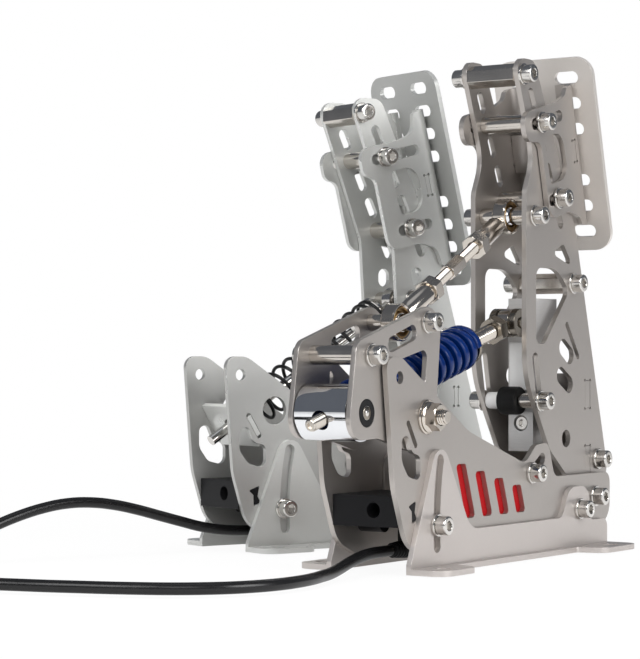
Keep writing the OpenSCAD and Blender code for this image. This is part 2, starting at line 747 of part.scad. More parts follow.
module face_cross_plate(high) {
    plate(-bracket_in + 0.1, 2 * bracket_in - 0.2) translate([face_tab_y, high - bracket_drop / 2])
        square([plate_t, face_tab_h + 10], center = true);
    plate(-bracket_out, 2 * bracket_out) translate([face_tab_y, high - bracket_drop / 2])
        square([plate_t, face_tab_h], center = true);
}

// Brake link: two rod ends, a rod with flats between them, and lock nuts
link_l = norm(link_low - link_top);
shank_d = 11;
shank_l = 34;
module link_rod_ends() {
    neck = eye_d / 2 - 2;
    color(bright) in_brake() along(link_top, link_low) {
        difference() {
            union() {
                rotate([0, 90, 0]) cylinder(h = eye_t, d = eye_d, center = true);
                translate([0, 0, neck]) cylinder(h = shank_l - neck, d = shank_d);
            }
            rotate([0, 90, 0]) cylinder(h = 40, d = screw_d + 0.3, center = true);
            translate([0, 0, shank_l - 16]) cylinder(h = 20, d = link_rod_d + 0.2);
        }
        translate([0, 0, link_l]) difference() {
            union() {
                rotate([0, 90, 0]) cylinder(h = eye_t, d = eye_d, center = true);
                translate([0, 0, -shank_l]) cylinder(h = shank_l - neck, d = shank_d);
            }
            rotate([0, 90, 0]) cylinder(h = 40, d = ball_d + 2 * ball_gap, center = true);
            translate([0, 0, -shank_l - 4]) cylinder(h = 20, d = link_rod_d + 0.2);
        }
    }
}
link_rod_d = 6.5;
module link_turnbuckle() {
    color(bright) in_brake() along(link_top, link_low) {
        translate([0, 0, shank_l - 14]) cylinder(h = link_l - 2 * shank_l + 28, d = link_rod_d);
        translate([0, 0, link_l / 2 - 7]) cylinder(h = 14, d = 9.5, $fn = 6);
    }
}
lock_nut_d = 15;
module link_lock_nuts() {
    color(bright) in_brake() along(link_top, link_low)
        for (z = [shank_l + 0.1, link_l - shank_l - 7.1]) translate([0, 0, z]) difference() {
            cylinder(h = 7, d = lock_nut_d, $fn = 6);
            translate([0, 0, -1]) cylinder(h = 9, d = link_rod_d + 0.2);
        }
}

// Rocker
rocker_outline = [
    at(rocker_spacer, [13, 6.5], 8), at(link_low, [-15, 13], 13),
    at(rocker_pivot, [-14, -14], 14), at(rocker_pivot, [8, -18], 14), at(barrel_pin, [-10, -13], 20),
    at(barrel_pin, [17, -14], 12)
];
bush_d = 14;
module rocker_plate(side) {
    color(warm_steel) in_brake() side_plate(rocker_in, side) difference() {
        polygon(rounded(rocker_outline));
        hole(rocker_pivot, rocker_bolt_d + 2 * run_gap);
        hole(link_low, screw_hole);
        hole(rocker_spacer, screw_hole);
        hole(barrel_pin, bush_d + 0.2);
        polygon(rounded([at(rocker_pivot, [30, 40.5], 3), at(rocker_pivot, [4.5, 48.5], 4),
            at(rocker_pivot, [2.5, 40.5], 4), at(rocker_pivot, [30, 32.5], 3)]));
        polygon(rounded([at(rocker_pivot, [31, 27], 3), at(rocker_pivot, [-7.5, 35.5], 4),
            at(rocker_pivot, [-5, 15.5], 5), at(rocker_pivot, [32, 10], 6)]));
    }
}
module rocker_spacers() {
    color(bright) in_brake() {
        tube(rocker_spacer, spacer_d, screw_d + 0.2, -rocker_in, rocker_in);
        tube(link_low, spacer_d - 1, screw_d + 0.2, -rocker_in, rocker_in);
        difference() {
            translate([0, link_low.x, link_low.y]) intersection() {
                sphere(d = ball_d);
                rotate([0, 90, 0]) cylinder(h = eye_t - 0.4, d = ball_d, center = true);
            }
            bar(link_low, spacer_d - 0.8, -10, 10);
        }
    }
}
module rocker_screws() {
    color(bright) in_brake() for (p = [link_low, rocker_spacer]) screw_pair(p, rocker_out);
}
module rocker_bushes() {
    color(black) in_brake() for (side = [-1, 1])
        tube(barrel_pin, bush_d, stub_d + 2 * run_gap, side > 0 ? rocker_in : -rocker_out,
            side > 0 ? rocker_out : -rocker_in);
}

// Barrel across the rocker with the rod's bore through it
barrel_half = rocker_in - 0.6;
barrel_flat = barrel_d / 2 - 1.5;
module brake_barrel() {
    color(bright) in_brake() difference() {
        union() {
            bar(barrel_pin, barrel_d, -barrel_half, barrel_half);
            bar(barrel_pin, stub_d, -rocker_out, rocker_out);
        }
        along(barrel_pin, rod_pin) {
            cylinder(h = 60, d = brake_rod_d + 2 * barrel_gap, center = true);
            translate([0, 0, barrel_flat]) cylinder(h = 10, d = brake_spring_d + 1);
        }
    }
}

// Brake spring rod: eye at the load cell's clevis, shoulder, then through the barrel
brake_rod_l = norm(barrel_pin - rod_pin);
brake_seat = 51;
seat_t = 2;
rod_tip_d = brake_rod_d - 1;
module brake_spring_rod() {
    color(bright) in_brake() along(rod_pin, barrel_pin) difference() {
        union() {
            rotate([0, 90, 0]) cylinder(h = eye_t, d = 15, center = true);
            cylinder(h = brake_rod_l - barrel_d, d = brake_rod_d);
            cylinder(h = brake_rod_l + barrel_d / 2 + 9, d = rod_tip_d);
            translate([0, 0, 20]) cylinder(h = brake_seat - seat_t - 20, d = brake_rod_d + 1.2);
        }
        rotate([0, 90, 0]) cylinder(h = 40, d = screw_d + 2 * run_gap, center = true);
    }
}
module brake_rod_nuts() {
    color(bright) in_brake() along(rod_pin, barrel_pin) {
        difference() {
            translate([0, 0, brake_seat - seat_t + 0.05]) cylinder(h = seat_t, d = brake_spring_d - 3);
            cylinder(h = 300, d = brake_rod_d + 0.2);
        }
        difference() {
            translate([0, 0, 13]) cylinder(h = 6.9, d = 16, $fn = 6);
            cylinder(h = 60, d = brake_rod_d + 0.2);
        }
    }
}
brake_spring_l = brake_rod_l - barrel_flat - brake_seat - 0.3;
brake_spring_form =
    spring_rings(brake_spring_d, brake_wire_w, brake_wire_h, brake_turns, brake_spring_l);
module brake_spring() {
    color(blue) in_brake() along(rod_pin, barrel_pin) translate([0, 0, brake_seat + 0.15])
        sweep(brake_spring_form);
}

// Throttle arm
throttle_arm_outline = [
    at(arm_pivot, [-16, -14], 12), at(arm_pivot, [-16, 16], 12), at(arm_pivot, [24, 19], 16),
    at(throttle_top, [-59, -88.5], 25), at(throttle_top, [-13.5, 9], 8), at(throttle_top, [9, 9], 8),
    at(throttle_top, [-23, -73.5], 20), at(throttle_knee, [12, -23], 30), at(arm_pivot, [58, 32], 22),
    at(arm_pivot, [18, 10], 8), at(arm_pivot, [16, -14], 10)
];
throttle_cross = [23.5, 86.5];
throttle_cross_h = 32;
throttle_tab_h = 11;
module throttle_arm_plate(side) {
    color(steel) in_throttle() side_plate(arm_in, side) difference() {
        polygon(rounded(throttle_arm_outline));
        mast_cuts(throttle_top);
        hole(arm_pivot, shaft_d + 2 * run_gap);
        for (p = [throttle_pin, throttle_low_screw]) hole(p, screw_hole);
        slot(throttle_knee + [-1, 17], throttle_knee + [-1, 20], 8);
        slot([34, 108], [46, 84], 12);
        tab_hole(throttle_cross, [plate_t + 0.3, throttle_tab_h + 0.3]);
    }
}
module throttle_arm_cross_plate() {
    color(steel) in_throttle() {
        plate(-arm_in + 0.1, 2 * arm_in - 0.2) translate(throttle_cross)
            square([plate_t, throttle_cross_h], center = true);
        plate(-arm_out, 2 * arm_out) translate(throttle_cross)
            square([plate_t, throttle_tab_h], center = true);
    }
}
module throttle_arm_spacers() {
    color(bright) in_throttle() {
        tube(throttle_top, spacer_d * 1.3, screw_d + 0.2, -arm_in, arm_in, 6);
        tube(throttle_low_screw, spacer_d, screw_d + 0.2, -arm_in, arm_in);
        for (p = bracket_screws(throttle_top)) tube(p, spacer_d, screw_d + 0.2, -arm_in, arm_in);
        bar(throttle_pin, screw_d - 0.2, -arm_in + screw_reach - plate_t, arm_in - screw_reach + plate_t);
        for (side = [0, 1]) mirror([side, 0, 0])
            tube(throttle_pin, spacer_d, screw_d + 0.2, link_side, arm_in);
    }
}
module throttle_arm_screws() {
    color(bright) in_throttle() {
        for (p = [throttle_top, throttle_low_screw, throttle_pin]) screw_pair(p, arm_out);
        for (p = bracket_screws(throttle_top))
            screw_pair(p, bracket_out + slide_gap, screw_reach + plate_t + bracket_play);
    }
}
throttle_seat = 19;
module throttle_spring_rod() {
    color(bright) in_throttle() along(throttle_pin, plate_mid) difference() {
        union() {
            rotate([0, 90, 0]) cylinder(h = eye_t, d = 15, center = true);
            cylinder(h = throttle_rod_l + 17, d = throttle_rod_d);
            translate([0, 0, throttle_seat - 2]) cylinder(h = 2, d = throttle_spring_d - 1);
        }
        rotate([0, 90, 0]) cylinder(h = 40, d = screw_d + 2 * run_gap, center = true);
    }
}
throttle_spring_l = throttle_rod_l - plate_t / 2 - throttle_seat - 0.3;
throttle_spring_form =
    spring_rings(throttle_spring_d, throttle_wire, throttle_wire, throttle_turns, throttle_spring_l);
module throttle_spring() {
    color(black) in_throttle() along(throttle_pin, plate_mid) translate([0, 0, throttle_seat + 0.15])
        sweep(throttle_spring_form);
}

// Cables: hand laid routes from the outlets to the coils, on the floor
brake_route = [
    [0, 84, 10], [0, 92, 10], [0, 102, 9.8], [-1, 114, 8.8], [-3, 127, 7], [-6, 140, 5.2],
    [-10, 154, 4.1], [-14, 168, 3.9], [-18, 182, 3.9], [-20, 196, 3.9], [-20, 210, 3.9],
    [-17, 224, 3.9], [-11, 237, 3.9], [-2, 248, 3.9], [9, 257, 3.9], [22, 264, 3.9], [36, 270, 3.9],
    [51, 275, 3.9], [66, 280, 3.9], [82, 284, 3.9], [98, 288, 3.9], [114, 290, 3.9], [128, 291, 4],
    [140, 291, 4.1]
];
throttle_route = [
    [141.4, 10.7, 10], [144.2, 18.2, 10.2], [148.6, 29, 11], [155, 42, 13.2], [160, 56, 17], [165, 70, 21],
    [170, 84, 25], [175, 98, 28.2], [180, 112, 30], [185, 126, 30], [190, 140, 28],
    [195, 154, 24.4], [200, 168, 19.6], [205, 182, 14.4], [210, 195, 9.8], [215, 207, 6.4],
    [221, 217, 4.6], [228, 225, 4], [237, 231, 4], [247, 234, 4], [260, 235, 4.1]
];
coil_low = 4.1;
layer_rise = cable_d + coil_gap;
coil_pitch = cable_d + coil_gap;
coil_steps = 24;
coil_start = coil_d / 2 + coil_pitch * coil_turns / 2;
function route_end(route) = [route[len(route) - 1].x, route[len(route) - 1].y + coil_start];
brake_coil_mid = route_end(brake_route);
throttle_coil_mid = route_end(throttle_route);
coil_tail = 34;
plug_l = 22;
plug_w = 12;
plug_h = 9;
function coil_point(mid, t) =
    let (inward = min(t, coil_turns), climb = max(0, min(1, (t - coil_turns) * 2)),
         outward = max(0, t - coil_turns - 0.5), a = -90 + 360 * t,
         r = coil_start - coil_pitch * inward + coil_pitch * outward)
    [mid.x + r * cos(a), mid.y + r * sin(a), coil_low + layer_rise * climb];
coil_all = 2 * coil_turns + 0.5;
function coil_path(mid) =
    let (turn = [for (i = [0 : coil_all * coil_steps]) coil_point(mid, i / coil_steps)],
         last = turn[len(turn) - 1], ahead = unit(last - turn[len(turn) - 2]),
         drop = last.z - plug_h / 2)
    concat(turn, [for (i = [1 : 6]) let (s = i / 6)
        last + coil_tail * s * ahead - [0, 0, drop * (s < 0.5 ? 2 * s * s : 1 - 2 * (1 - s) * (1 - s))]]);
function coil_rings(mid) = path_rings(coil_path(mid), cable_r, 6);
module cable(route) {
    color(black) sweep(path_rings(route, cable_r, 8));
}
module cable_coil(mid) {
    color(black) sweep(coil_rings(mid));
}
module cable_plug(mid) {
    path = coil_path(mid);
    last = path[len(path) - 1];
    ahead = last - path[len(path) - 2];
    color([0.6, 0.62, 0.64]) translate(last) rotate(atan2(ahead.y, ahead.x))
        translate([0.05, -plug_w / 2, -plug_h / 2]) {
            cube([plug_l, plug_w, plug_h]);
            translate([4, plug_w / 2 - 2, plug_h - eps]) cube([plug_l - 6, 4, 1.6]);
        }
}
tie_w = 8;
tie_t = 0.9;
module cable_ties() {
    inner = coil_start - coil_pitch * coil_turns - cable_r - 0.6;
    outer = coil_start + cable_r + 0.6;
    top = coil_low + layer_rise + cable_r + 0.4;
    color(black) for (mid = [brake_coil_mid, throttle_coil_mid])
        translate([mid.x, mid.y, 0]) rotate(30) difference() {
            translate([inner - tie_t, -tie_w / 2, 0]) cube([outer - inner + 2 * tie_t, tie_w, top + tie_t]);
            translate([inner, -tie_w, tie_t]) cube([outer - inner, 2 * tie_w, top - tie_t]);
        }
}
echo(brake_spring_gap = least_gap(brake_spring_form, ring_steps));
echo(throttle_spring_gap = least_gap(throttle_spring_form, ring_steps));
echo(coil_gap_measured = least_gap(coil_rings(brake_coil_mid), coil_steps));

color(warm_steel) in_brake() foot(-1);  // brake_left_foot
color(warm_steel) in_brake() foot(1);  // brake_right_foot
color(warm_steel) in_brake() base_plate(-1, brake_front);  // brake_left_base_plate
color(warm_steel) in_brake() base_plate(1, brake_front);  // brake_right_base_plate
color(steel) in_throttle() foot(-1);  // throttle_left_foot
color(steel) in_throttle() foot(1);  // throttle_right_foot
color(steel) in_throttle() base_plate(-1, throttle_front);  // throttle_left_base_plate
color(steel) in_throttle() base_plate(1, throttle_front);  // throttle_right_base_plate
in_brake() sensor_housing();  // brake_sensor_housing
in_throttle() sensor_housing();  // throttle_sensor_housing
sensor_boards();
base_spacers();
base_screws();
arm_pivot_shafts();
rocker_pivot_bolts();
brake_red_panels();
throttle_spring_plate();
brake_arm_plate(-1);  // brake_left_arm_plate
brake_arm_plate(1);  // brake_right_arm_plate
brake_arm_cross_plate();
brake_arm_spacers();
brake_arm_screws();
brake_load_cell();
brake_load_cell_potting();
brake_rod_clevis();
brake_bumper();
brake_bumper_spacer();
color(warm_steel) in_brake() in_face(brake_top, brake_reach) face_plate(brake_face_h, 7, 15);  // brake_face_plate
color(warm_steel) in_brake() in_face(brake_top, brake_reach)  // brake_face_brackets
        face_brackets(brake_reach, brake_ends);
color(warm_steel) in_brake() in_face(brake_top, brake_reach) face_cross_plate(brake_reach.y);  // brake_face_cross_plate
link_rod_ends();
link_turnbuckle();
link_lock_nuts();
rocker_plate(-1);  // rocker_left_plate
rocker_plate(1);  // rocker_right_plate
rocker_spacers();
rocker_screws();
rocker_bushes();
brake_barrel();
brake_spring_rod();
brake_rod_nuts();
brake_spring();
throttle_arm_plate(-1);  // throttle_left_arm_plate
throttle_arm_plate(1);  // throttle_right_arm_plate
throttle_arm_cross_plate();
throttle_arm_spacers();
throttle_arm_screws();
color(steel) in_throttle() in_face(throttle_top, throttle_reach) face_plate(throttle_face_h, 9, 14);  // throttle_face_plate
color(steel) in_throttle() in_face(throttle_top, throttle_reach)  // throttle_face_brackets
        face_brackets(throttle_reach, throttle_ends);
color(steel) in_throttle() in_face(throttle_top, throttle_reach) face_cross_plate(throttle_reach.y);  // throttle_face_cross_plate
throttle_spring_rod();
throttle_spring();
cable_glands();
cable(brake_route);  // brake_cable
cable_coil(brake_coil_mid);  // brake_cable_coil
cable_plug(brake_coil_mid);  // brake_cable_plug
cable(throttle_route);  // throttle_cable
cable_coil(throttle_coil_mid);  // throttle_cable_coil
cable_plug(throttle_coil_mid);  // throttle_cable_plug
cable_ties();
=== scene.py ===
"""Sim racing pedal set: a load cell brake and a throttle of satin steel plate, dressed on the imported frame.

Lengths are in mm, as in the source, unless a docstring says otherwise. They become metres where a mesh
is made.
"""

from __future__ import annotations

import json
import logging
import math
from contextlib import contextmanager
from dataclasses import dataclass, field
from enum import Enum
from typing import Dict, Iterator, List, Mapping, Sequence, Tuple, Union

import bpy
from mathutils import Matrix, Vector

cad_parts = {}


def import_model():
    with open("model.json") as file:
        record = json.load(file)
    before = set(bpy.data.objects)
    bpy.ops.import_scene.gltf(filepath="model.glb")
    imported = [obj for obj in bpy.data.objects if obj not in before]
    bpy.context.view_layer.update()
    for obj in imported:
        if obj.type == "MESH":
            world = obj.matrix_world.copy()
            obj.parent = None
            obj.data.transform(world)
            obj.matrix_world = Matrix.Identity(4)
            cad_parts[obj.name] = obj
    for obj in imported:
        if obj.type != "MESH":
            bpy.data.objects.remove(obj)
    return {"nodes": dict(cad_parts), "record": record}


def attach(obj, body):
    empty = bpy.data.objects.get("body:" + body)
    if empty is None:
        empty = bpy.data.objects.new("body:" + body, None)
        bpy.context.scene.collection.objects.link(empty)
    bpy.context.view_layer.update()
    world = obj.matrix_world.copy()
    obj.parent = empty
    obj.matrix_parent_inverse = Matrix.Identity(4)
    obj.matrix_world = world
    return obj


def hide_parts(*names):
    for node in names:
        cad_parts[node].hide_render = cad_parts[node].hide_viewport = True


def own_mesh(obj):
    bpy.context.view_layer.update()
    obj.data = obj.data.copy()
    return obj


LOG = logging.getLogger("pedal_set")
MM = 0.001
# From the rear foot screw to the middle of a unit's floor holes, in mm.
FOOT_MIDDLE = 75.0
# Points nearer than this become one, in metres.
WELD = 0.002 * MM
# Gap at each end of a spring, in mm.
SPRING_PLAY = 0.15
# Turns a shape that stands on Z to lie across a rod.
SIDEWAYS = Matrix.Rotation(math.pi / 2, 4, "Y")

Colour = Tuple[float, float, float]
Point = Tuple[float, float, float]
Spot = Tuple[float, float]
Thing = bpy.types.Object


class Unit(Enum):
    """The two pedal units.

    Each has the floor place of its hole pattern's middle in mm and its turn about the vertical in degrees.
    """

    BRAKE = (0.0, 0.0, 0.0)
    THROTTLE = (112.0, -68.0, -20.5)

    @property
    def matrix(self) -> Matrix:
        """Takes a unit's own side view, in metres from the rear foot screw, to the row frame.

        Returns:
            The turn and move as one matrix.
        """
        x, y, turn = self.value
        place = Matrix.Translation((x * MM, y * MM, 0.0)) @ Matrix.Rotation(math.radians(turn), 4, "Z")
        return place @ Matrix.Translation((0.0, -FOOT_MIDDLE * MM, 0.0))

    @property
    def across(self) -> Vector:
        """The unit's sideways direction in the row frame."""
        return self.matrix.to_3x3() @ Vector((1.0, 0.0, 0.0))

    def point(self, y: float, z: float) -> Vector:
        """A point of the unit's middle plane, given in mm, in the row frame."""
        return self.matrix @ Vector((0.0, y * MM, z * MM))


class Edge(Enum):
    """How far the edges of a kind of piece are broken, in metres."""

    SHEET = 0.20 * MM
    PLATE = 0.35 * MM
    TURNED = 0.50 * MM
    MOULDED = 0.60 * MM
    RUBBER = 1.40 * MM


class Crease(Enum):
    """Angles between faces, in degrees: up to these they shade as one, and past BEVEL an edge is rounded."""

    NUT = 25.0
    DISC = 30.0
    PLATE = 32.0
    EYE = 34.0
    RIDGE = 35.0
    BEVEL = 38.0
    SCREW = 40.0
    COIL = 50.0


class Term:
    """A shader value that takes part in arithmetic."""

    def __init__(self, graph: "Graph", socket: bpy.types.NodeSocket) -> None:
        """Keeps the graph and the output socket."""
        self.graph = graph
        self.socket = socket

    def _math(self, operation: str, first: object, second: object) -> "Term":
        """Adds one Math node."""
        return self.graph.node("ShaderNodeMath", {"operation": operation}, {0: first, 1: second})

    def __add__(self, other: object) -> "Term":
        """Sum."""
        return self._math("ADD", self, other)

    def __radd__(self, other: object) -> "Term":
        """Sum with a number in front."""
        return self._math("ADD", other, self)

    def __sub__(self, other: object) -> "Term":
        """Difference."""
        return self._math("SUBTRACT", self, other)

    def __rsub__(self, other: object) -> "Term":
        """Difference with a number in front."""
        return self._math("SUBTRACT", other, self)

    def __mul__(self, other: object) -> "Term":
        """Product."""
        return self._math("MULTIPLY", self, other)

    def __rmul__(self, other: object) -> "Term":
        """Product with a number in front."""
        return self._math("MULTIPLY", other, self)

    def __abs__(self) -> "Term":
        """Size without its sign."""
        return self._math("ABSOLUTE", self, 0.0)

    def sine(self) -> "Term":
        """Sine of an angle in radians."""
        return self._math("SINE", self, 0.0)


class Graph:
    """The node tree of one material or of the world."""

    def __init__(self, tree: bpy.types.NodeTree) -> None:
        """Empties the tree."""
        self.tree = tree
        tree.nodes.clear()

    def node(
        self,
        kind: str,
        settings: Mapping[str, object] = {},
        inputs: Mapping[Union[int, str], object] = {},
        output: Union[int, str] = 0,
    ) -> Term:
        """Adds a node.

        Args:
            kind: the node's type.
            settings: its own settings, set first.
            inputs: values or terms for its sockets.
            output: which output is wanted.

        Returns:
            The output as a term.
        """
        made = self.tree.nodes.new(kind)
        for key, value in settings.items():
            setattr(made, key, value)
        for key, value in inputs.items():
            if isinstance(value, Term):
                self.tree.links.new(value.socket, made.inputs[key])
            else:
                made.inputs[key].default_value = value
        return Term(self, made.outputs[output] if len(made.outputs) else None)

    def coords(self, kind: str = "Object") -> Term:
        """Texture coordinates of one kind."""
        return self.node("ShaderNodeTexCoord", output=kind)

    def ray(self, kind: str) -> Term:
        """1 for rays of one kind, such as Camera or Glossy."""
        return self.node("ShaderNodeLightPath", output=f"Is {kind} Ray")

    def noise(self, scale: float, detail: float = 2.0, stretch: Point = (1.0, 1.0, 1.0)) -> Term:
        """Noise of so many lumps a metre, stretched along the axes."""
        place = self.node("ShaderNodeMapping", inputs={"Vector": self.coords(), "Scale": stretch})
        return self.node("ShaderNodeTexNoise", inputs={"Vector": place, "Scale": scale, "Detail": detail})

    def along(self, direction: Sequence[float], kind: str = "Object") -> Term:
        """How far a coordinate lies along a direction."""
        inputs = {0: self.coords(kind), 1: tuple(direction)}
        return self.node("ShaderNodeVectorMath", {"operation": "DOT_PRODUCT"}, inputs, "Value")

    def step(self, value: Term, low: float, high: float) -> Term:
        """Goes smoothly from 0 at low to 1 at high."""
        inputs = {"Value": value, "From Min": low, "From Max": high}
        return self.node("ShaderNodeMapRange", {"interpolation_type": "SMOOTHSTEP"}, inputs)

    def mix(self, share: Term, first: object, second: object) -> Term:
        """Mixes two colours."""
        inputs = {0: share, 6: _rgba(first), 7: _rgba(second)}
        return self.node("ShaderNodeMix", {"data_type": "RGBA"}, inputs, 2)

    def bump(self, height: Term, strength: float, depth: float) -> Term:
        """A normal bent by a height, its depth in mm."""
        inputs = {"Height": height, "Strength": strength, "Distance": depth * MM}
        return self.node("ShaderNodeBump", inputs=inputs)


def _rgba(colour: object) -> object:
    """A colour with its alpha, or a term as it is."""
    return colour if isinstance(colour, Term) else (*colour, 1.0)


@dataclass(frozen=True)
class Finish:
    """A surface finish.

    Attributes:
        name: the material's name.
        colour: its main colour, linear.
        roughness: its mean roughness.
        metallic: 1 for bare metal.
        ior: index of its clear reflection.
    """

    name: str
    colour: Colour
    roughness: float
    metallic: float = 0.0
    ior: float = 1.45

    def tone(self, factor: float) -> Colour:
        """The main colour, darker or lighter by a factor."""
        return tuple(min(1.0, factor * c) for c in self.colour)

    def paint(self, graph: Graph) -> Dict[str, object]:
        """The inputs that vary; a plain moulded surface by default.

        Args:
            graph: the node tree to build in.

        Returns:
            Values or terms by the shader's sockets.
        """
        cloud = graph.noise(60.0, 3.0)
        return {
            "Base Color": graph.mix(cloud, self.tone(0.82), self.colour),
            "Roughness": self.roughness - 0.06 + 0.12 * cloud,
            "Normal": graph.bump(graph.noise(2600.0), 0.12, 0.05),
        }

    def build(self) -> bpy.types.Material:
        """Makes the material, once.

        Returns:
            The material, the same one at every call.
        """
        found = bpy.data.materials.get(self.name)
        if found:
            return found
        material = bpy.data.materials.new(self.name)
        material.use_nodes = True
        graph = Graph(material.node_tree)
        inputs = {**self.paint(graph), "Metallic": self.metallic, "IOR": self.ior}
        shader = graph.node("ShaderNodeBsdfPrincipled", inputs=inputs)
        graph.node("ShaderNodeOutputMaterial", inputs={"Surface": shader})
        material.diffuse_color = (*self.colour, 1.0)
        return material


@dataclass(frozen=True)
class SatinPlate(Finish):
    """Bead blasted stainless plate: even satin faces, and a painted highlight that makes the cut edges a
    little brighter.
    """

    across: Point = (1.0, 0.0, 0.0)
    # How much lighter the cut edges are painted: a painted highlight.
    painted_edge_highlight: float = 1.12

    def paint(self, graph: Graph) -> Dict[str, object]:
        """Cloudy satin faces, fine blasting grain, smoother cut edges and a painted highlight on them.

        Args:
            graph: the node tree to build in.

        Returns:
            Values or terms by the shader's sockets.
        """
        cloud = graph.noise(26.0, 4.0)
        fine = graph.noise(420.0, 3.0)
        grain = graph.noise(3200.0, 1.0)
        cut = 1.0 - graph.step(abs(graph.along(self.across, "Normal")), 0.3, 0.8)
        face = graph.mix(cloud * 0.7 + fine * 0.3, self.tone(0.93), self.tone(1.05))
        return {
            # Painted highlight: the cut edges' colour is lightened.
            "Base Color": graph.mix(cut * 0.7, face, self.tone(self.painted_edge_highlight)),
            "Roughness": self.roughness + 0.10 * cloud - 0.05 - 0.08 * cut,
            "Normal": graph.bump(grain * 0.7 + fine * 0.3, 0.22, 0.06),
        }


@dataclass(frozen=True)
class PolishedSteel(Finish):
    """Bright plated steel with faint smears."""

    def paint(self, graph: Graph) -> Dict[str, object]:
        """Slight smears in gloss and tone.

        Args:
            graph: the node tree to build in.

        Returns:
            Values or terms by the shader's sockets.
        """
        smear = graph.noise(90.0, 4.0)
        fine = graph.noise(900.0, 2.0)
        return {
            "Base Color": graph.mix(smear, self.tone(0.9), self.colour),
            "Roughness": self.roughness - 0.03 + 0.06 * smear + 0.03 * fine,
            "Normal": graph.bump(fine, 0.04, 0.02),
        }


@dataclass(frozen=True)
class BrushedAlloy(Finish):
    """Milled aluminium with fine lines."""

    def paint(self, graph: Graph) -> Dict[str, object]:
        """Lines across the bar.

        Args:
            graph: the node tree to build in.

        Returns:
            Values or terms by the shader's sockets.
        """
        lines = graph.noise(160.0, 3.0, (1.0, 1.0, 14.0))
        return {
            "Base Color": graph.mix(lines, self.tone(0.86), self.colour),
            "Roughness": self.roughness - 0.08 + 0.16 * lines,
            "Normal": graph.bump(lines, 0.15, 0.05),
        }


@dataclass(frozen=True)
class Enamel(Finish):
    """Gloss paint on spring wire, in places a little thinner."""

    def paint(self, graph: Graph) -> Dict[str, object]:
        """Orange peel and a slow change of depth.

        Args:
            graph: the node tree to build in.

        Returns:
            Values or terms by the shader's sockets.
        """
        cloud = graph.noise(120.0, 3.0)
        return {
            "Base Color": graph.mix(cloud, self.tone(0.6), self.colour),
            "Roughness": self.roughness + 0.08 * cloud,
            "Coat Weight": 0.10 + 0.20 * cloud,
            "Normal": graph.bump(graph.noise(900.0, 1.0), 0.10, 0.04),
        }


@dataclass(frozen=True)
class Jacket(Finish):
    """Smooth extruded cable jacket."""

    def paint(self, graph: Graph) -> Dict[str, object]:
        """Soft sheen with slight scuffs.

        Args:
            graph: the node tree to build in.

        Returns:
            Values or terms by the shader's sockets.
        """
        scuff = graph.noise(140.0, 5.0)
        return {
            "Base Color": graph.mix(graph.step(scuff, 0.55, 0.8) * 0.5, self.colour, self.tone(2.2)),
            "Roughness": self.roughness + 0.10 * scuff,
            "Normal": graph.bump(graph.noise(1500.0), 0.06, 0.04),
        }


@dataclass(frozen=True)
class BoardLacquer(Finish):
    """Green board lacquer with paler copper runs under it."""

    def paint(self, graph: Graph) -> Dict[str, object]:
        """Straight runs in two directions.

        Args:
            graph: the node tree to build in.

        Returns:
            Values or terms by the shader's sockets.
        """
        lengthwise = abs((graph.along((1.0, 0.0, 0.0)) * 2400.0).sine())
        runs = lengthwise * abs((graph.along((0.0, 1.0, 0.0)) * 1700.0).sine())
        return {
            "Base Color": graph.mix(graph.step(runs, 0.55, 0.65), self.colour, self.tone(1.7)),
            "Roughness": self.roughness + 0.1 * runs,
        }


THROTTLE_ACROSS = tuple(Unit.THROTTLE.across)
WARM_STEEL = SatinPlate("satin_warm_steel", (0.45, 0.42, 0.395), 0.38, 0.85, 1.3)
# The brake's feet and face plate take lighter copies of its plate steel: painted light.
WARM_FOOT_PAINTED_LIGHT = SatinPlate("satin_warm_foot_painted_light", (0.55, 0.51, 0.485), 0.38, 0.7, 1.3)
WARM_FACE_PAINTED_LIGHT = SatinPlate("satin_warm_face_painted_light", (0.66, 0.625, 0.59), 0.42, 0.6, 1.3, (0.0, 0.97, -0.24))
GREY_STEEL = SatinPlate("satin_grey_steel", (0.60, 0.605, 0.585), 0.36, 0.5, 1.3, THROTTLE_ACROSS)
# The throttle's base plates and face plate take darker copies of its plate steel: painted shade.
GREY_BASE_PAINTED_SHADE = SatinPlate("satin_grey_base_painted_shade", (0.46, 0.46, 0.445), 0.36, 0.6, 1.3, THROTTLE_ACROSS)
GREY_FACE_PAINTED_SHADE = SatinPlate("satin_grey_face_painted_shade", (0.50, 0.505, 0.49), 0.42, 0.6, 1.3, (0.34, 0.91, -0.24))
CHROME = PolishedSteel("polished_chrome", (0.72, 0.70, 0.67), 0.10, 1.0)
NICKEL = PolishedSteel("nickel_plate", (0.66, 0.61, 0.55), 0.13, 1.0)
MIRROR = PolishedSteel("barrel_chrome", (0.84, 0.85, 0.87), 0.05, 1.0)
SCREW_STEEL = PolishedSteel("screw_steel", (0.70, 0.68, 0.65), 0.16, 1.0)
TURNED_STEEL = PolishedSteel("turned_steel", (0.66, 0.62, 0.57), 0.15, 1.0)
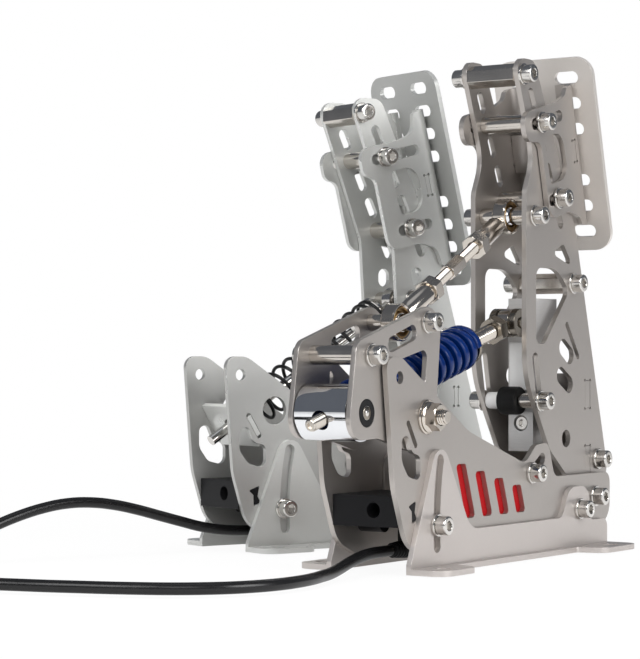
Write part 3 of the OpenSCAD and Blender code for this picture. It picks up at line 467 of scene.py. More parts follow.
# Dark steel of the clevis and rod nuts; on the stub ends' discs it is painted shade for a recess.
DARK_STEEL_AND_PAINTED_SHADE = PolishedSteel("dark_steel_and_painted_shade", (0.30, 0.27, 0.23), 0.24, 1.0)
BRONZE = PolishedSteel("bronze_liner", (0.42, 0.27, 0.12), 0.28, 1.0)
ALLOY = BrushedAlloy("milled_alloy", (0.70, 0.69, 0.68), 0.36, 0.6)
BLACK_PLASTIC = Finish("black_moulding", (0.010, 0.010, 0.011), 0.38, 0.0, 1.25)
WHITE_PLASTIC = Finish("white_moulding", (0.93, 0.93, 0.92), 0.4)
RUBBER = Finish("moulded_rubber", (0.009, 0.009, 0.009), 0.5, 0.0, 1.3)
RED_SHEET = Finish("red_sheet", (0.38, 0.003, 0.006), 0.4, 0.0, 1.25)
BLUE_ENAMEL = Enamel("blue_enamel", (0.0006, 0.019, 0.125), 0.14, 0.0, 1.28)
BLACK_WIRE = Enamel("black_wire", (0.008, 0.008, 0.008), 0.25, 0.0, 1.35)
CABLE_JACKET = Jacket("extruded_jacket", (0.009, 0.009, 0.0095), 0.20, 0.0, 1.4)
PLUG_PLASTIC = Finish("moulded_plug", (0.50, 0.52, 0.54), 0.2)
BOARD = BoardLacquer("board_lacquer", (0.02, 0.12, 0.05), 0.35)


def in_metres(point: Point) -> Vector:
    """A point given in mm, in metres."""
    return Vector([c * MM for c in point])


def stand(place: Vector, direction: Vector) -> Matrix:
    """Moves the origin to a place, in metres, and turns Z to a direction."""
    return Matrix.Translation(place) @ direction.to_track_quat("Z", "Y").to_matrix().to_4x4()


def lift(z: float) -> Matrix:
    """Moves along Z, by so many mm."""
    return Matrix.Translation((0.0, 0.0, z * MM))


@dataclass(frozen=True)
class Line:
    """A straight line in a unit's side view, as a rod has it.

    Attributes:
        unit: which pedal unit.
        start: the line's first end.
        toward: its other end.
    """

    unit: Unit
    start: Spot
    toward: Spot

    @property
    def length(self) -> float:
        """Distance of the two ends."""
        return math.hypot(self.toward[0] - self.start[0], self.toward[1] - self.start[1])

    @property
    def direction(self) -> Vector:
        """The line's direction in the row frame."""
        return (self.unit.point(*self.toward) - self.unit.point(*self.start)).normalized()

    @property
    def axes(self) -> Matrix:
        """A frame with X across the unit, Z along the line and its origin at the start.

        Returns:
            The frame as a matrix.
        """
        along, across = self.direction, self.unit.across
        turn = Matrix((across, along.cross(across), along)).transposed().to_4x4()
        return Matrix.Translation(self.unit.point(*self.start)) @ turn


class Bench:
    """Modelling operators, always on what was just selected."""

    @staticmethod
    def take(*objects: Thing) -> None:
        """Selects only these objects, the last one active.

        Args:
            objects: what to select.
        """
        bpy.ops.object.select_all(action="DESELECT")
        for obj in objects:
            obj.select_set(True)
        bpy.context.view_layer.objects.active = objects[-1]

    @staticmethod
    def new(name: str, data: bpy.types.ID) -> Thing:
        """An object for a mesh, curve, camera or light.

        Args:
            name: its name.
            data: its mesh, curve, camera or light.

        Returns:
            The object, in the scene.
        """
        made = bpy.data.objects.new(name, data)
        bpy.context.scene.collection.objects.link(made)
        return made

    @staticmethod
    @contextmanager
    def edit(obj: Thing) -> Iterator[None]:
        """Edit mode on one object, everything selected.

        Args:
            obj: the object.

        Returns:
            A context that leaves edit mode at its end.
        """
        Bench.take(obj)
        bpy.ops.object.mode_set(mode="EDIT")
        bpy.ops.mesh.select_all(action="SELECT")
        yield
        bpy.ops.object.mode_set(mode="OBJECT")

    @staticmethod
    def apply(obj: Thing, kind: str, **settings: object) -> None:
        """Adds a modifier with these settings and applies it.

        Args:
            obj: the object.
            kind: the modifier's type.
            settings: its settings by name.
        """
        Bench.take(obj)
        modifier = obj.modifiers.new(kind.lower(), kind)
        for key, value in settings.items():
            setattr(modifier, key, value)
        bpy.ops.object.modifier_apply(modifier=modifier.name)

    @staticmethod
    def smooth(obj: Thing, crease: Crease) -> None:
        """Shades smooth across edges flatter than the crease."""
        Bench.take(obj)
        bpy.ops.object.shade_smooth_by_angle(angle=math.radians(crease.value))

    @staticmethod
    def break_edges(obj: Thing, edge: Edge) -> None:
        """Rounds the sharp edges.

        Args:
            obj: the object.
            edge: how far its edges are broken.
        """
        Bench.apply(
            obj,
            "BEVEL",
            width=edge.value,
            segments=2,
            limit_method="ANGLE",
            angle_limit=math.radians(Crease.BEVEL.value),
            use_clamp_overlap=True,
            loop_slide=True,
        )
        Bench.smooth(obj, Crease.PLATE)
        Bench.apply(obj, "WEIGHTED_NORMAL", mode="FACE_AREA", weight=80, keep_sharp=True)

    @staticmethod
    def cut(obj: Thing, tool: Thing, operation: str = "DIFFERENCE") -> None:
        """Cuts one shape with another, which is then removed."""
        Bench.apply(obj, "BOOLEAN", object=tool, operation=operation, solver="EXACT")
        bpy.data.objects.remove(tool)

    @staticmethod
    def join(objects: Sequence[Thing], name: str) -> Thing:
        """Makes one object of several, with its place in its mesh.

        Args:
            objects: the objects, the last one giving its data.
            name: the name of the whole.

        Returns:
            The joined object.
        """
        Bench.take(*objects)
        if len(objects) > 1:
            bpy.ops.object.join()
        made = bpy.context.view_layer.objects.active
        bpy.ops.object.transform_apply(location=True, rotation=True, scale=True)
        made.name = name
        made.data.name = name
        return made

    @staticmethod
    def copy(obj: Thing, matrix: Matrix) -> Thing:
        """A copy with its own mesh, moved by a matrix.

        Args:
            obj: the model.
            matrix: where the copy goes.

        Returns:
            The copy.
        """
        made = Bench.new(obj.name, obj.data.copy())
        made.data.transform(matrix)
        return made

    @staticmethod
    def spread(model: Thing, places: Sequence[Matrix], name: str) -> Thing:
        """Makes one object of copies of a model, which is then removed.

        Args:
            model: what to copy.
            places: where the copies go.
            name: the name of the whole.

        Returns:
            The joined copies.
        """
        made = Bench.join([Bench.copy(model, place) for place in places], name)
        bpy.data.objects.remove(model)
        return made

    @staticmethod
    def paint(obj: Thing, finish: Finish) -> Thing:
        """Gives an object one finish.

        Args:
            obj: the object.
            finish: its finish.

        Returns:
            The object.
        """
        obj.data.materials.clear()
        obj.data.materials.append(finish.build())
        return obj

    @staticmethod
    def cylinder(radius: float, low: float, high: float, sides: int = 6) -> Thing:
        """A cylinder or hexagon bar on Z from low to high.

        Args:
            radius: radius over the corners.
            low: height of its foot.
            high: height of its top.
            sides: number of sides.

        Returns:
            The shape.
        """
        low, high = low * MM, high * MM
        bpy.ops.object.select_all(action="DESELECT")
        bpy.ops.mesh.primitive_cylinder_add(
            vertices=sides, radius=radius * MM, depth=high - low, location=(0.0, 0.0, (low + high) / 2)
        )
        made = bpy.context.view_layer.objects.active
        bpy.ops.object.transform_apply(location=True)
        return made

    @staticmethod
    def lathe(profile: Sequence[Spot], sides: int = 48) -> Thing:
        """Spins a closed profile about Z.

        Args:
            profile: the section's corners, as radius and height.
            sides: steps of the spin.

        Returns:
            The turned shape.
        """
        mesh = bpy.data.meshes.new("profile")
        count = len(profile)
        edges = [(i, (i + 1) % count) for i in range(count)]
        mesh.from_pydata([(r * MM, 0.0, z * MM) for r, z in profile], edges, [])
        made = Bench.new("turned", mesh)
        with Bench.edit(made):
            bpy.ops.mesh.spin(steps=sides, angle=math.tau, axis=(0.0, 0.0, 1.0), center=(0.0, 0.0, 0.0))
            bpy.ops.mesh.select_all(action="SELECT")
            bpy.ops.mesh.remove_doubles(threshold=WELD)
            bpy.ops.mesh.normals_make_consistent(inside=False)
        return made

    @staticmethod
    def ring(inner: float, outer: float, half: float, edge: float) -> Thing:
        """A ring about the sideways axis, with broken edges.

        Args:
            inner: radius of its bore.
            outer: its outer radius.
            half: how far it reaches to each side.
            edge: width of its chamfers.

        Returns:
            The shape.
        """
        made = Bench.lathe([
            (inner, edge - half), (inner + edge, -half), (outer - edge, -half), (outer, edge - half),
            (outer, half - edge), (outer - edge, half), (inner + edge, half), (inner, half - edge),
        ])
        made.data.transform(SIDEWAYS)
        return made

    @staticmethod
    def hexagon(flats: float, low: float, high: float) -> Thing:
        """A hexagon bar with turned corners, as a nut has.

        Args:
            flats: width across flats.
            low: height of its foot.
            high: height of its top.

        Returns:
            The shape.
        """
        corner = flats / math.sqrt(3.0)
        spare = corner - flats / 2
        edge, wide, drop = flats / 2 + 0.15 * spare, corner * 1.02, 0.77 * spare
        made = Bench.cylinder(corner, low, high)
        turned = Bench.lathe([
            (0.0, low), (edge, low), (wide, low + drop), (wide, high - drop), (edge, high), (0.0, high),
        ])
        Bench.cut(made, turned, "INTERSECT")
        return made

    @staticmethod
    def nut(flats: float, height: float, bore: float) -> Thing:
        """A hexagon nut standing on Z, its corners turned and its bore countersunk.

        Args:
            flats: width across flats.
            height: its height.
            bore: diameter of its bore.

        Returns:
            The shape.
        """
        made = Bench.hexagon(flats, 0.0, height)
        r, sink = bore / 2, 0.5
        wide, low, high = r + 1.5, -1.0, height + 1.0
        drill = [(0.0, low), (wide, low), (r, sink), (r, height - sink), (wide, high), (0.0, high)]
        Bench.cut(made, Bench.lathe(drill))
        Bench.smooth(made, Crease.NUT)
        return made

    @staticmethod
    def trace(curve: bpy.types.Curve, line: Sequence[Point]) -> bpy.types.Spline:
        """Adds straight steps through the line's points to a curve.

        Args:
            curve: the curve.
            line: the points.

        Returns:
            The new spline.
        """
        spline = curve.splines.new("POLY")
        spline.points.add(len(line) - 1)
        for point, place in zip(spline.points, line):
            point.co = (*in_metres(place), 1.0)
        return spline

    @staticmethod
    def wind(name: str, line: Sequence[Point], section: Sequence[Spot]) -> Thing:
        """Sweeps a closed section along a line about Z.

        Args:
            name: the new object's name.
            line: the sweep's points.
            section: the section's corners, outward and upward.

        Returns:
            The swept shape, closed at both ends.
        """
        outline = bpy.data.curves.new("section", "CURVE")
        Bench.trace(outline, [(x, y, 0.0) for x, y in section]).use_cyclic_u = True
        profile = Bench.new("section", outline)
        curve = bpy.data.curves.new(name, "CURVE")
        curve.dimensions = "3D"
        curve.twist_mode = "Z_UP"
        curve.bevel_mode = "OBJECT"
        curve.bevel_object = profile
        curve.use_fill_caps = True
        Bench.trace(curve, line)
        Bench.take(Bench.new(name, curve))
        bpy.ops.object.convert(target="MESH")
        bpy.data.objects.remove(profile)
        made = bpy.context.view_layer.objects.active
        with Bench.edit(made):
            bpy.ops.mesh.normals_make_consistent(inside=False)
        return made


@dataclass
class Frame:
    """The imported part: its nodes, bodies and material slots.

    Attributes:
        nodes: CAD objects by name.
        body: body name by node.
        slot: material slot by node.
    """

    nodes: Dict[str, Thing] = field(default_factory=dict)
    body: Dict[str, str] = field(default_factory=dict)
    slot: Dict[str, str] = field(default_factory=dict)

    @classmethod
    def load(cls) -> "Frame":
        """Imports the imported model.

        Returns:
            The part, ready to be dressed.
        """
        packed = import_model()
        record = packed["record"]
        body = {n: b for b, nodes in record["behaviour"]["bodies"].items() for n in nodes}
        slot = {s["node"]: s["material_slot"] for s in record["subparts"]}
        return cls(packed["nodes"], body, slot)

    def place(self, piece: Thing, node: str, finish: Finish | None = None) -> Thing:
        """Puts a finished piece in a node's stead.

        Args:
            piece: the new piece, in the row frame.
            node: the CAD node that it stands for.
            finish: its finish, unless it has its materials already.

        Returns:
            The piece.
        """
        if finish is not None:
            Bench.paint(piece, finish)
        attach(piece, self.body[node])
        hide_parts(node)
        LOG.info("%s stands for %s", piece.name, node)
        return piece

    def add(self, piece: Thing, carrier: str, like: str) -> None:
        """Puts in a piece that stands for no node.

        Args:
            piece: the new piece, in the row frame.
            carrier: the node whose body it rides.
            like: not used.
        """
        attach(piece, self.body[carrier])
        LOG.info("%s is new", piece.name)

    def assemble(
        self,
        parts: Sequence[Thing],
        node: str,
        finish: Finish | None = None,
        axes: Matrix = Matrix.Identity(4),
    ) -> None:
        """Makes one piece of several parts, moved by a matrix, and puts it in a node's stead.

        Args:
            parts: the shapes to join.
            node: the CAD node that they stand for.
            finish: their finish, unless they have their materials already.
            axes: takes them to the row frame.
        """
        piece = Bench.join(parts, node + "_detailed")
        piece.data.transform(axes)
        self.place(piece, node, finish)

    def merged(self, node: str) -> Thing:
        """A copy of a node's mesh with its triangles joined up.

        Args:
            node: the CAD node.

        Returns:
            The copy; the node itself stays as it is.
        """
        made = Bench.new(node + "_edged", self.nodes[node].data.copy())
        Bench.take(made)
        bpy.ops.mesh.customdata_custom_splitnormals_clear()
        with Bench.edit(made):
            bpy.ops.mesh.remove_doubles(threshold=WELD)
            bpy.ops.mesh.dissolve_limited(angle_limit=math.radians(0.6))
        return made

    def edged(self, node: str, edge: Edge, finish: Finish) -> Thing:
        """A node's shape with its edges broken and a finish on it.

        Args:
            node: the CAD node.
            edge: how far its edges are broken.
            finish: its finish.

        Returns:
            The piece.
        """
        piece = self.merged(node)
        Bench.break_edges(piece, edge)
        return self.place(piece, node, finish)

    def islands(self, node: str) -> List[List[Vector]]:
        """The separate solids of a node, as lists of points.

        Args:
            node: the CAD node.

        Returns:
            Each solid's points, in metres.
        """
        with Bench.edit(self.merged(node)):
            bpy.ops.mesh.separate(type="LOOSE")
        parts = list(bpy.context.selected_objects)
        found = [[v.co.copy() for v in part.data.vertices] for part in parts]
        for part in parts:
            bpy.data.objects.remove(part)
        return found


@dataclass
class CapScrew:
    """The cap screw that holds everything, with its washer.

    Attributes:
        rim: radius of the head's rounded rim, turned in rim_steps.
        foot: chamfer under the head.
        lip: chamfer of the washer.
        sides: steps of the turned shapes.
    """

    head_d: float = 10.0
    head_h: float = 6.0
    washer_d: float = 12.0
    washer_t: float = 1.6
    shank_d: float = 5.8
    shank_l: float = 12.0
    socket_flats: float = 4.85
    socket_deep: float = 3.0
    rim: float = 0.9
    rim_steps: int = 5
    foot: float = 0.35
    lip: float = 0.3
    sides: int = 40

    @property
    def stand(self) -> float:
        """Height of head and washer above the seat, in metres."""
        return (self.head_h + self.washer_t) * MM

    def head(self) -> Thing:
        """Head with a rounded rim and a hexagon socket with a turned mouth.

        Returns:
            The shape.
        """
        r, low, top = self.head_d / 2, self.washer_t, self.head_h + self.washer_t
        profile = [(0.0, low), (r - self.foot, low), (r, low + self.foot), (r, top - self.rim)]
        for k in range(1, self.rim_steps + 1):
            a = math.pi / 2 * k / self.rim_steps
            profile.append((r - self.rim + self.rim * math.cos(a), top - self.rim + self.rim * math.sin(a)))
        made = Bench.lathe(profile + [(0.0, top)], self.sides)
        mouth = self.socket_flats / math.sqrt(3.0)
        Bench.cut(made, Bench.cylinder(mouth, top - self.socket_deep, top + 1.0))
        low, high = top - 0.35, top + 0.4
        cone = [(0.0, low), (mouth - 0.3, low), (mouth + 0.45, high), (0.0, high)]
        Bench.cut(made, Bench.lathe(cone, self.sides))
        return made

    def model(self) -> Thing:
        """Head, washer and shank, seated at Z = 0.

        Returns:
            The screw.
        """
        head = self.head()
        w, t, hole, lip = self.washer_d / 2, self.washer_t, self.shank_d / 2 + 0.1, self.lip
        section = [(hole, 0.0), (w - lip, 0.0), (w, lip), (w, t - lip), (w - lip, t), (hole, t)]
        washer = Bench.lathe(section, self.sides)
        shank = Bench.cylinder(self.shank_d / 2, -self.shank_l, t + 0.5, 24)
        made = Bench.join([head, washer, shank], "cap_screw")
        Bench.smooth(made, Crease.SCREW)
        return made


@dataclass
class ScrewSets:
    """All cap screws: the model is put where the CAD nodes have theirs.

    Attributes:
        frame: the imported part.
        screw: the model.
        nodes: the nodes made of screws.
        half_width: how far the brake reaches from the middle, in metres.
        twist: how much further each next screw is turned, in radians.
    """

    frame: Frame
    screw: CapScrew = field(default_factory=CapScrew)
    nodes: Tuple[str, ...] = ("base_screws", "brake_arm_screws", "rocker_screws", "throttle_arm_screws")
    half_width: float = 36.0 * MM
    twist: float = 0.9

    def unit_of(self, points: Sequence[Vector]) -> Unit:
        """Which unit a screw sits on."""
        middle = sum((p.x for p in points), 0.0) / len(points)
        return Unit.BRAKE if abs(middle) < self.half_width else Unit.THROTTLE

    def seat(self, points: Sequence[Vector]) -> Matrix:
        """Where a screw of the CAD model is seated, with Z outwards.

        Args:
            points: the points of one CAD screw, in metres.

        Returns:
            A matrix for the model.
        """
        unit = self.unit_of(points)
        across, origin = unit.across, unit.point(0.0, 0.0)
        reach = [(p - origin).dot(across) for p in points]
        side = 1.0 if max(reach) + min(reach) > 0 else -1.0
        limits = [(min(values), max(values)) for values in zip(*points)]
        centre = Vector([(low + high) / 2 for low, high in limits])
        head = max(side * r for r in reach)
        middle = (centre - origin).dot(across)
        place = centre + across * (side * (head - self.screw.stand) - middle)
        return stand(place, across * side)

    def build(self) -> None:
        """Replaces each screw node."""
        model = self.screw.model()
        for node in self.nodes:
            copies = []
            for number, points in enumerate(self.frame.islands(node)):
                turn = Matrix.Rotation(self.twist * number, 4, "Z")
                copies.append(Bench.copy(model, self.seat(points) @ turn))
            self.frame.assemble(copies, node, SCREW_STEEL)
        bpy.data.objects.remove(model)


@dataclass
class Spring:
    """A coil spring on a rod.

    Attributes:
        line: the rod's line.
        offset: distance of the spring's seat from the line's start.
        length: free length shown.
        outer: outer diameter.
        wire: width and height of the wire.
        turns: number of turns, the end ones closed.
        round_off: corner radius of the wire's section.
        end_gap: gap beside the end turns.
        steps: points of one turn.
    """

    line: Line
    offset: float
    length: float
    outer: float
    wire: Spot
    turns: int
    round_off: float
    end_gap: float = 0.7
    steps: int = 40

    @property
    def seat(self) -> Vector:
        """The end that keeps its place on the rod, in metres."""
        return self.line.unit.point(*self.line.start) + self.line.direction * (self.offset * MM)

    def height(self, turn: float) -> float:
        """Height of the wire's middle after so many turns.

        Args:
            turn: the turns so far.

        Returns:
            The height.
        """
        wire = self.wire[1]
        flat = wire + self.end_gap
        rise = (self.length - wire - 2 * flat) / (self.turns - 2)
        if turn < 1:
            climb = flat * turn
        elif turn > self.turns - 1:
            climb = flat + rise * (self.turns - 2) + flat * (turn - self.turns + 1)
        else:
            climb = flat + rise * (turn - 1)
        return wire / 2 + climb

    def section(self) -> List[Spot]:
        """The wire's rounded section.

        Returns:
            The section's corners.
        """
        w, h, r = self.wire[0] / 2, self.wire[1] / 2, self.round_off
        corners = ((w - r, h - r, 0), (r - w, h - r, 90), (r - w, r - h, 180), (w - r, r - h, 270))
        points = []
        for x, y, first in corners:
            for k in range(5):
                a = math.radians(first + 22.5 * k)
                points.append((x + r * math.cos(a), y + r * math.sin(a)))
        return points

    def build(self, name: str) -> Thing:
        """Winds the wire and puts the spring on its rod.

        Args:
            name: its name.

        Returns:
            The spring in the row frame.
        """
        radius = (self.outer - self.wire[0]) / 2
        line = []
        for k in range(self.turns * self.steps + 1):
            turn = k / self.steps
            a = math.tau * turn
            line.append((radius * math.cos(a), radius * math.sin(a), self.height(turn)))
        made = Bench.wind(name, line, self.section())
        made.data.transform(stand(self.seat, self.line.direction))
        Bench.smooth(made, Crease.COIL)
        return made

    def fit(self, frame: Frame, node: str, finish: Finish) -> None:
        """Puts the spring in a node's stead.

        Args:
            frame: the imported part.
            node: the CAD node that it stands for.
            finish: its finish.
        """
        piece = frame.place(self.build(node + "_wound"), node, finish)
        tuple(self.line.direction)
        tuple(self.seat)
        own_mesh(piece)


@dataclass
class Thread:
    """A screw thread on Z: a core with a ridge wound round it.

    Attributes:
        outer: diameter over the ridge.
        low: where the thread begins.
        high: where it ends.
        pitch: rise of one turn.
        deep: height of the ridge.
        edge: chamfer of the core's ends.
        steps: points of one turn.
    """

    outer: float
    low: float
    high: float
    pitch: float = 1.0
    deep: float = 0.4
    edge: float = 0.5
    steps: int = 20

    def model(self) -> Thing:
        """Turns the core and winds the ridge.

        Returns:
            The shape.
        """
        core, low, high, edge = self.outer / 2 - self.deep, self.low, self.high, self.edge
        section = [(core - edge, low), (core, low + edge), (core, high - edge), (core - edge, high)]
        bar = Bench.lathe([(0.0, low), *section, (0.0, high)], 32)
        first, last = low + self.pitch, high - self.pitch
        line = []
        for k in range(int((last - first) / self.pitch * self.steps) + 1):
            a = math.tau * k / self.steps
            line.append((core * math.cos(a), core * math.sin(a), first + self.pitch * k / self.steps))
        half = 0.44 * self.pitch
        ridge = Bench.wind("ridge", line, [(self.deep, 0.0), (0.0, half), (-self.deep, 0.0), (0.0, -half)])
        made = Bench.join([ridge, bar], "thread")
        Bench.smooth(made, Crease.RIDGE)
        return made


@dataclass
class Cable:
    """A sensor cable: a listed route, then a coil held by a tie, then its plug."""

    unit_name: str
    route: Tuple[Point, ...]
    diameter: float = 6.0
    coil_d: float = 62.0
    coil_turns: float = 2.5
    coil_gap: float = 0.6
    coil_low: float = 4.1
    coil_steps: int = 24
    tail: float = 34.0
    tail_steps: int = 6
    plug_h: float = 9.0

    def coil(self) -> List[Vector]:
        """The coil's centreline: inwards on the floor, then outwards on top; in metres.

        Returns:
            The coil's points.
        """
        pitch = self.diameter + self.coil_gap
        outer = self.coil_d / 2 + pitch * self.coil_turns / 2
        middle = in_metres(self.route[-1]) + Vector((0.0, outer * MM, 0.0))
        points = []
        for k in range(int((2 * self.coil_turns + 0.5) * self.coil_steps) + 1):
            t = k / self.coil_steps
            climb = max(0.0, min(1.0, 2 * (t - self.coil_turns)))
            outward = max(0.0, t - self.coil_turns - 0.5)
            r = (outer - pitch * min(t, self.coil_turns) + pitch * outward) * MM
            a = math.tau * t - math.pi / 2
            z = (self.coil_low + pitch * climb) * MM
            points.append(Vector((middle.x + r * math.cos(a), middle.y + r * math.sin(a), z)))
        return points

    def points(self) -> List[Vector]:
        """The whole centreline, in metres.

        Returns:
            The points from the outlet to the plug.
        """
        coil = self.coil()
        ahead = (coil[-1] - coil[-2]).normalized()
        drop = coil[-1].z - self.plug_h / 2 * MM
        tail = []
        for k in range(1, self.tail_steps + 1):
            s = k / self.tail_steps
            ease = 2 * s * s if s < 0.5 else 1 - 2 * (1 - s) ** 2
            tail.append(coil[-1] + ahead * (self.tail * MM * s) - Vector((0.0, 0.0, drop * ease)))
        return [in_metres(p) for p in self.route] + coil[1:] + tail

    def build(self, frame: Frame) -> None:
        """Args:
            frame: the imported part.
        """
        points = self.points()
        name = self.unit_name + "_cable_laid"
        curve = bpy.data.curves.new(name, "CURVE")
        curve.dimensions = "3D"
        curve.bevel_depth = self.diameter / 2 * MM
        curve.bevel_resolution = 6
        curve.use_fill_caps = True
        curve.resolution_u = 4
        spline = curve.splines.new("BEZIER")
        spline.bezier_points.add(len(points) - 1)
        for knot, point in zip(spline.bezier_points, points):
            knot.co = point
            knot.handle_left_type = knot.handle_right_type = "AUTO"
        made = frame.place(Bench.new(name, curve), self.unit_name + "_cable", CABLE_JACKET)
        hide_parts(self.unit_name + "_cable_coil")
        plug = frame.edged(self.unit_name + "_cable_plug", Edge.MOULDED, PLUG_PLASTIC)
        length = sum((b - a).length for a, b in zip(points, points[1:]))
        LOG.info("%s is %.3f m long", name, length)


BRAKE_ROUTE: Tuple[Point, ...] = (
    (0, 84, 10), (0, 92, 10), (0, 102, 9.8), (-1, 114, 8.8), (-3, 127, 7), (-6, 140, 5.2), (-10, 154, 4.1),
    (-14, 168, 3.9), (-18, 182, 3.9), (-20, 196, 3.9), (-20, 210, 3.9), (-17, 224, 3.9), (-11, 237, 3.9),
    (-2, 248, 3.9), (9, 257, 3.9), (22, 264, 3.9), (36, 270, 3.9), (51, 275, 3.9), (66, 280, 3.9),
    (82, 284, 3.9), (98, 288, 3.9), (114, 290, 3.9), (128, 291, 4), (140, 291, 4.1),
)
THROTTLE_ROUTE: Tuple[Point, ...] = (
    (141.4, 10.7, 10), (144.2, 18.2, 10.2), (148.6, 29, 11), (155, 42, 13.2), (160, 56, 17), (165, 70, 21),
    (170, 84, 25), (175, 98, 28.2), (180, 112, 30), (185, 126, 30), (190, 140, 28), (195, 154, 24.4),
    (200, 168, 19.6), (205, 182, 14.4), (210, 195, 9.8), (215, 207, 6.4), (221, 217, 4.6), (228, 225, 4),
    (237, 231, 4), (247, 234, 4), (260, 235, 4.1),
)


@dataclass
class PlateWork:
    """The cut plates, housings and plain turned pieces, each with its edges broken.

    Attributes:
        frame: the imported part.
        groups: edge, finish and node names of each group.
        outward: faces of the red sheets that look outwards at least so much are red.
    """

    frame: Frame
    groups: Tuple[Tuple[Edge, Finish, str], ...] = (
        (Edge.PLATE, WARM_STEEL, "brake_left_base_plate brake_right_base_plate brake_left_arm_plate"),
        (Edge.PLATE, WARM_STEEL, "brake_right_arm_plate brake_arm_cross_plate rocker_left_plate"),
        (Edge.PLATE, WARM_STEEL, "rocker_right_plate brake_face_brackets brake_face_cross_plate"),
        # Lighter copy of the plate steel on the feet: painted light.
        (Edge.PLATE, WARM_FOOT_PAINTED_LIGHT, "brake_left_foot brake_right_foot"),
        (Edge.PLATE, GREY_STEEL, "throttle_left_foot throttle_right_foot throttle_left_arm_plate"),
        (Edge.PLATE, GREY_STEEL, "throttle_right_arm_plate throttle_arm_cross_plate throttle_spring_plate"),
        (Edge.PLATE, GREY_STEEL, "throttle_face_brackets throttle_face_cross_plate"),
        # Darker copy of the plate steel on the base plates: painted shade.
        (Edge.PLATE, GREY_BASE_PAINTED_SHADE, "throttle_left_base_plate throttle_right_base_plate"),
        # Lighter copy of the plate steel on the face plate: painted light.
        (Edge.PLATE, WARM_FACE_PAINTED_LIGHT, "brake_face_plate"),
        # Darker copy of the plate steel on the face plate: painted shade.
        (Edge.PLATE, GREY_FACE_PAINTED_SHADE, "throttle_face_plate"),
        (Edge.PLATE, TURNED_STEEL, "base_spacers arm_pivot_shafts brake_arm_spacers rocker_spacers"),
        (Edge.PLATE, TURNED_STEEL, "throttle_arm_spacers"),
        (Edge.SHEET, BLACK_PLASTIC, "brake_sensor_housing throttle_sensor_housing cable_ties rocker_bushes"),
        (Edge.SHEET, BOARD, "sensor_boards"),
    )
    outward: float = 0.7

    def build(self) -> None:
        """Dresses every group, and the red sheets with their steel backs."""
        for edge, finish, nodes in self.groups:
            for node in nodes.split():
                self.frame.edged(node, edge, finish)
        panels = self.frame.edged("brake_red_panels", Edge.SHEET, RED_SHEET)
        panels.data.materials.append(WARM_STEEL.build())
        for face in panels.data.polygons:
            if face.normal.x * face.center.x < self.outward * abs(face.center.x):
                face.material_index = 1


@dataclass
class Glands:
    """The ribbed cable glands under the sensor housings.

    Attributes:
        frame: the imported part.
        start: where a gland begins in the side view.
        length: its length.
        bore: bore for the cable.
        collar: diameter of the collar at the housing.
        ends: diameter of the cone at its two ends.
        ribs: how many ribs it has.
        rib_low: where the first rib begins.
        rib_pitch: distance of the ribs.
    """

    frame: Frame
    start: Spot = (141.0, 10.0)
    length: float = 18.0
    bore: float = 6.1
    collar: float = 9.8
    ends: Spot = (9.4, 6.6)
    ribs: int = 5
    rib_low: float = 5.0
    rib_pitch: float = 2.5

    def radius(self, z: float) -> float:
        """The cone's radius at a height."""
        first, last = self.ends
        return (first + (last - first) * z / self.length) / 2

    def model(self) -> Thing:
        """One gland on Z.

        Returns:
            The shape.
        """
        r, wide = self.bore / 2, self.collar / 2
        line = [(r, 0.0), (wide, 0.0), (wide, 3.4), (wide - 0.4, 4.0)]
        for k in range(self.ribs):
            z = self.rib_low + self.rib_pitch * k
            line += [(self.radius(z), z), (self.radius(z) + 0.5, z + 0.3)]
            line += [(self.radius(z) + 0.45, z + 1.2), (self.radius(z + 1.5), z + 1.5)]
        line += [(self.radius(self.length), self.length), (r, self.length)]
        made = Bench.lathe(line)
        Bench.smooth(made, Crease.RIDGE)
        return made

    def build(self) -> None:
        """Puts one on each unit's outlet."""
        places = []
        for unit in Unit:
            ahead = Line(unit, (0.0, 0.0), (1.0, 0.0)).direction
            places.append(stand(unit.point(*self.start), ahead))
        pair = Bench.spread(self.model(), places, "cable_glands_ribbed")
        self.frame.place(pair, "cable_glands", BLACK_PLASTIC)


@dataclass
class LoadCell:
    """The brake's load cell, its cover, the rod's clevis and the rubber end stop.

    Attributes:
        frame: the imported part.
        screw_seat: the front screw's place in the side view.
        socket_r: radius over the corners of its socket.
        socket_low: floor of its socket.
    """

    frame: Frame
    screw_seat: Spot = (17.05, 73.0)
    socket_r: float = 2.3
    socket_low: float = 1.6

    def screw(self) -> None:
        """The socket screw sunk in the cell's front."""
        head = Bench.lathe([(0.0, 0.0), (3.8, 0.0), (4.1, 0.3), (4.1, 3.2), (3.5, 3.8), (0.0, 3.8)])
        Bench.cut(head, Bench.cylinder(self.socket_r, self.socket_low, 5.0))
        Bench.smooth(head, Crease.DISC)
        head.data.transform(stand(Unit.BRAKE.point(*self.screw_seat), Vector((0.0, 1.0, 0.0))))
        Bench.paint(head, SCREW_STEEL)
        head.name = "brake_load_cell_screw"
        self.frame.add(head, "brake_load_cell", "brake_arm_screws")

    def build(self) -> None:
        """Dresses the pieces on the arm."""
        self.frame.edged("brake_load_cell", Edge.TURNED, ALLOY)
        self.screw()
        self.frame.edged("brake_load_cell_potting", Edge.SHEET, WHITE_PLASTIC)
        self.frame.edged("brake_rod_clevis", Edge.TURNED, DARK_STEEL_AND_PAINTED_SHADE)
        self.frame.edged("brake_bumper", Edge.RUBBER, RUBBER)
        self.frame.edged("brake_bumper_spacer", Edge.MOULDED, WHITE_PLASTIC)


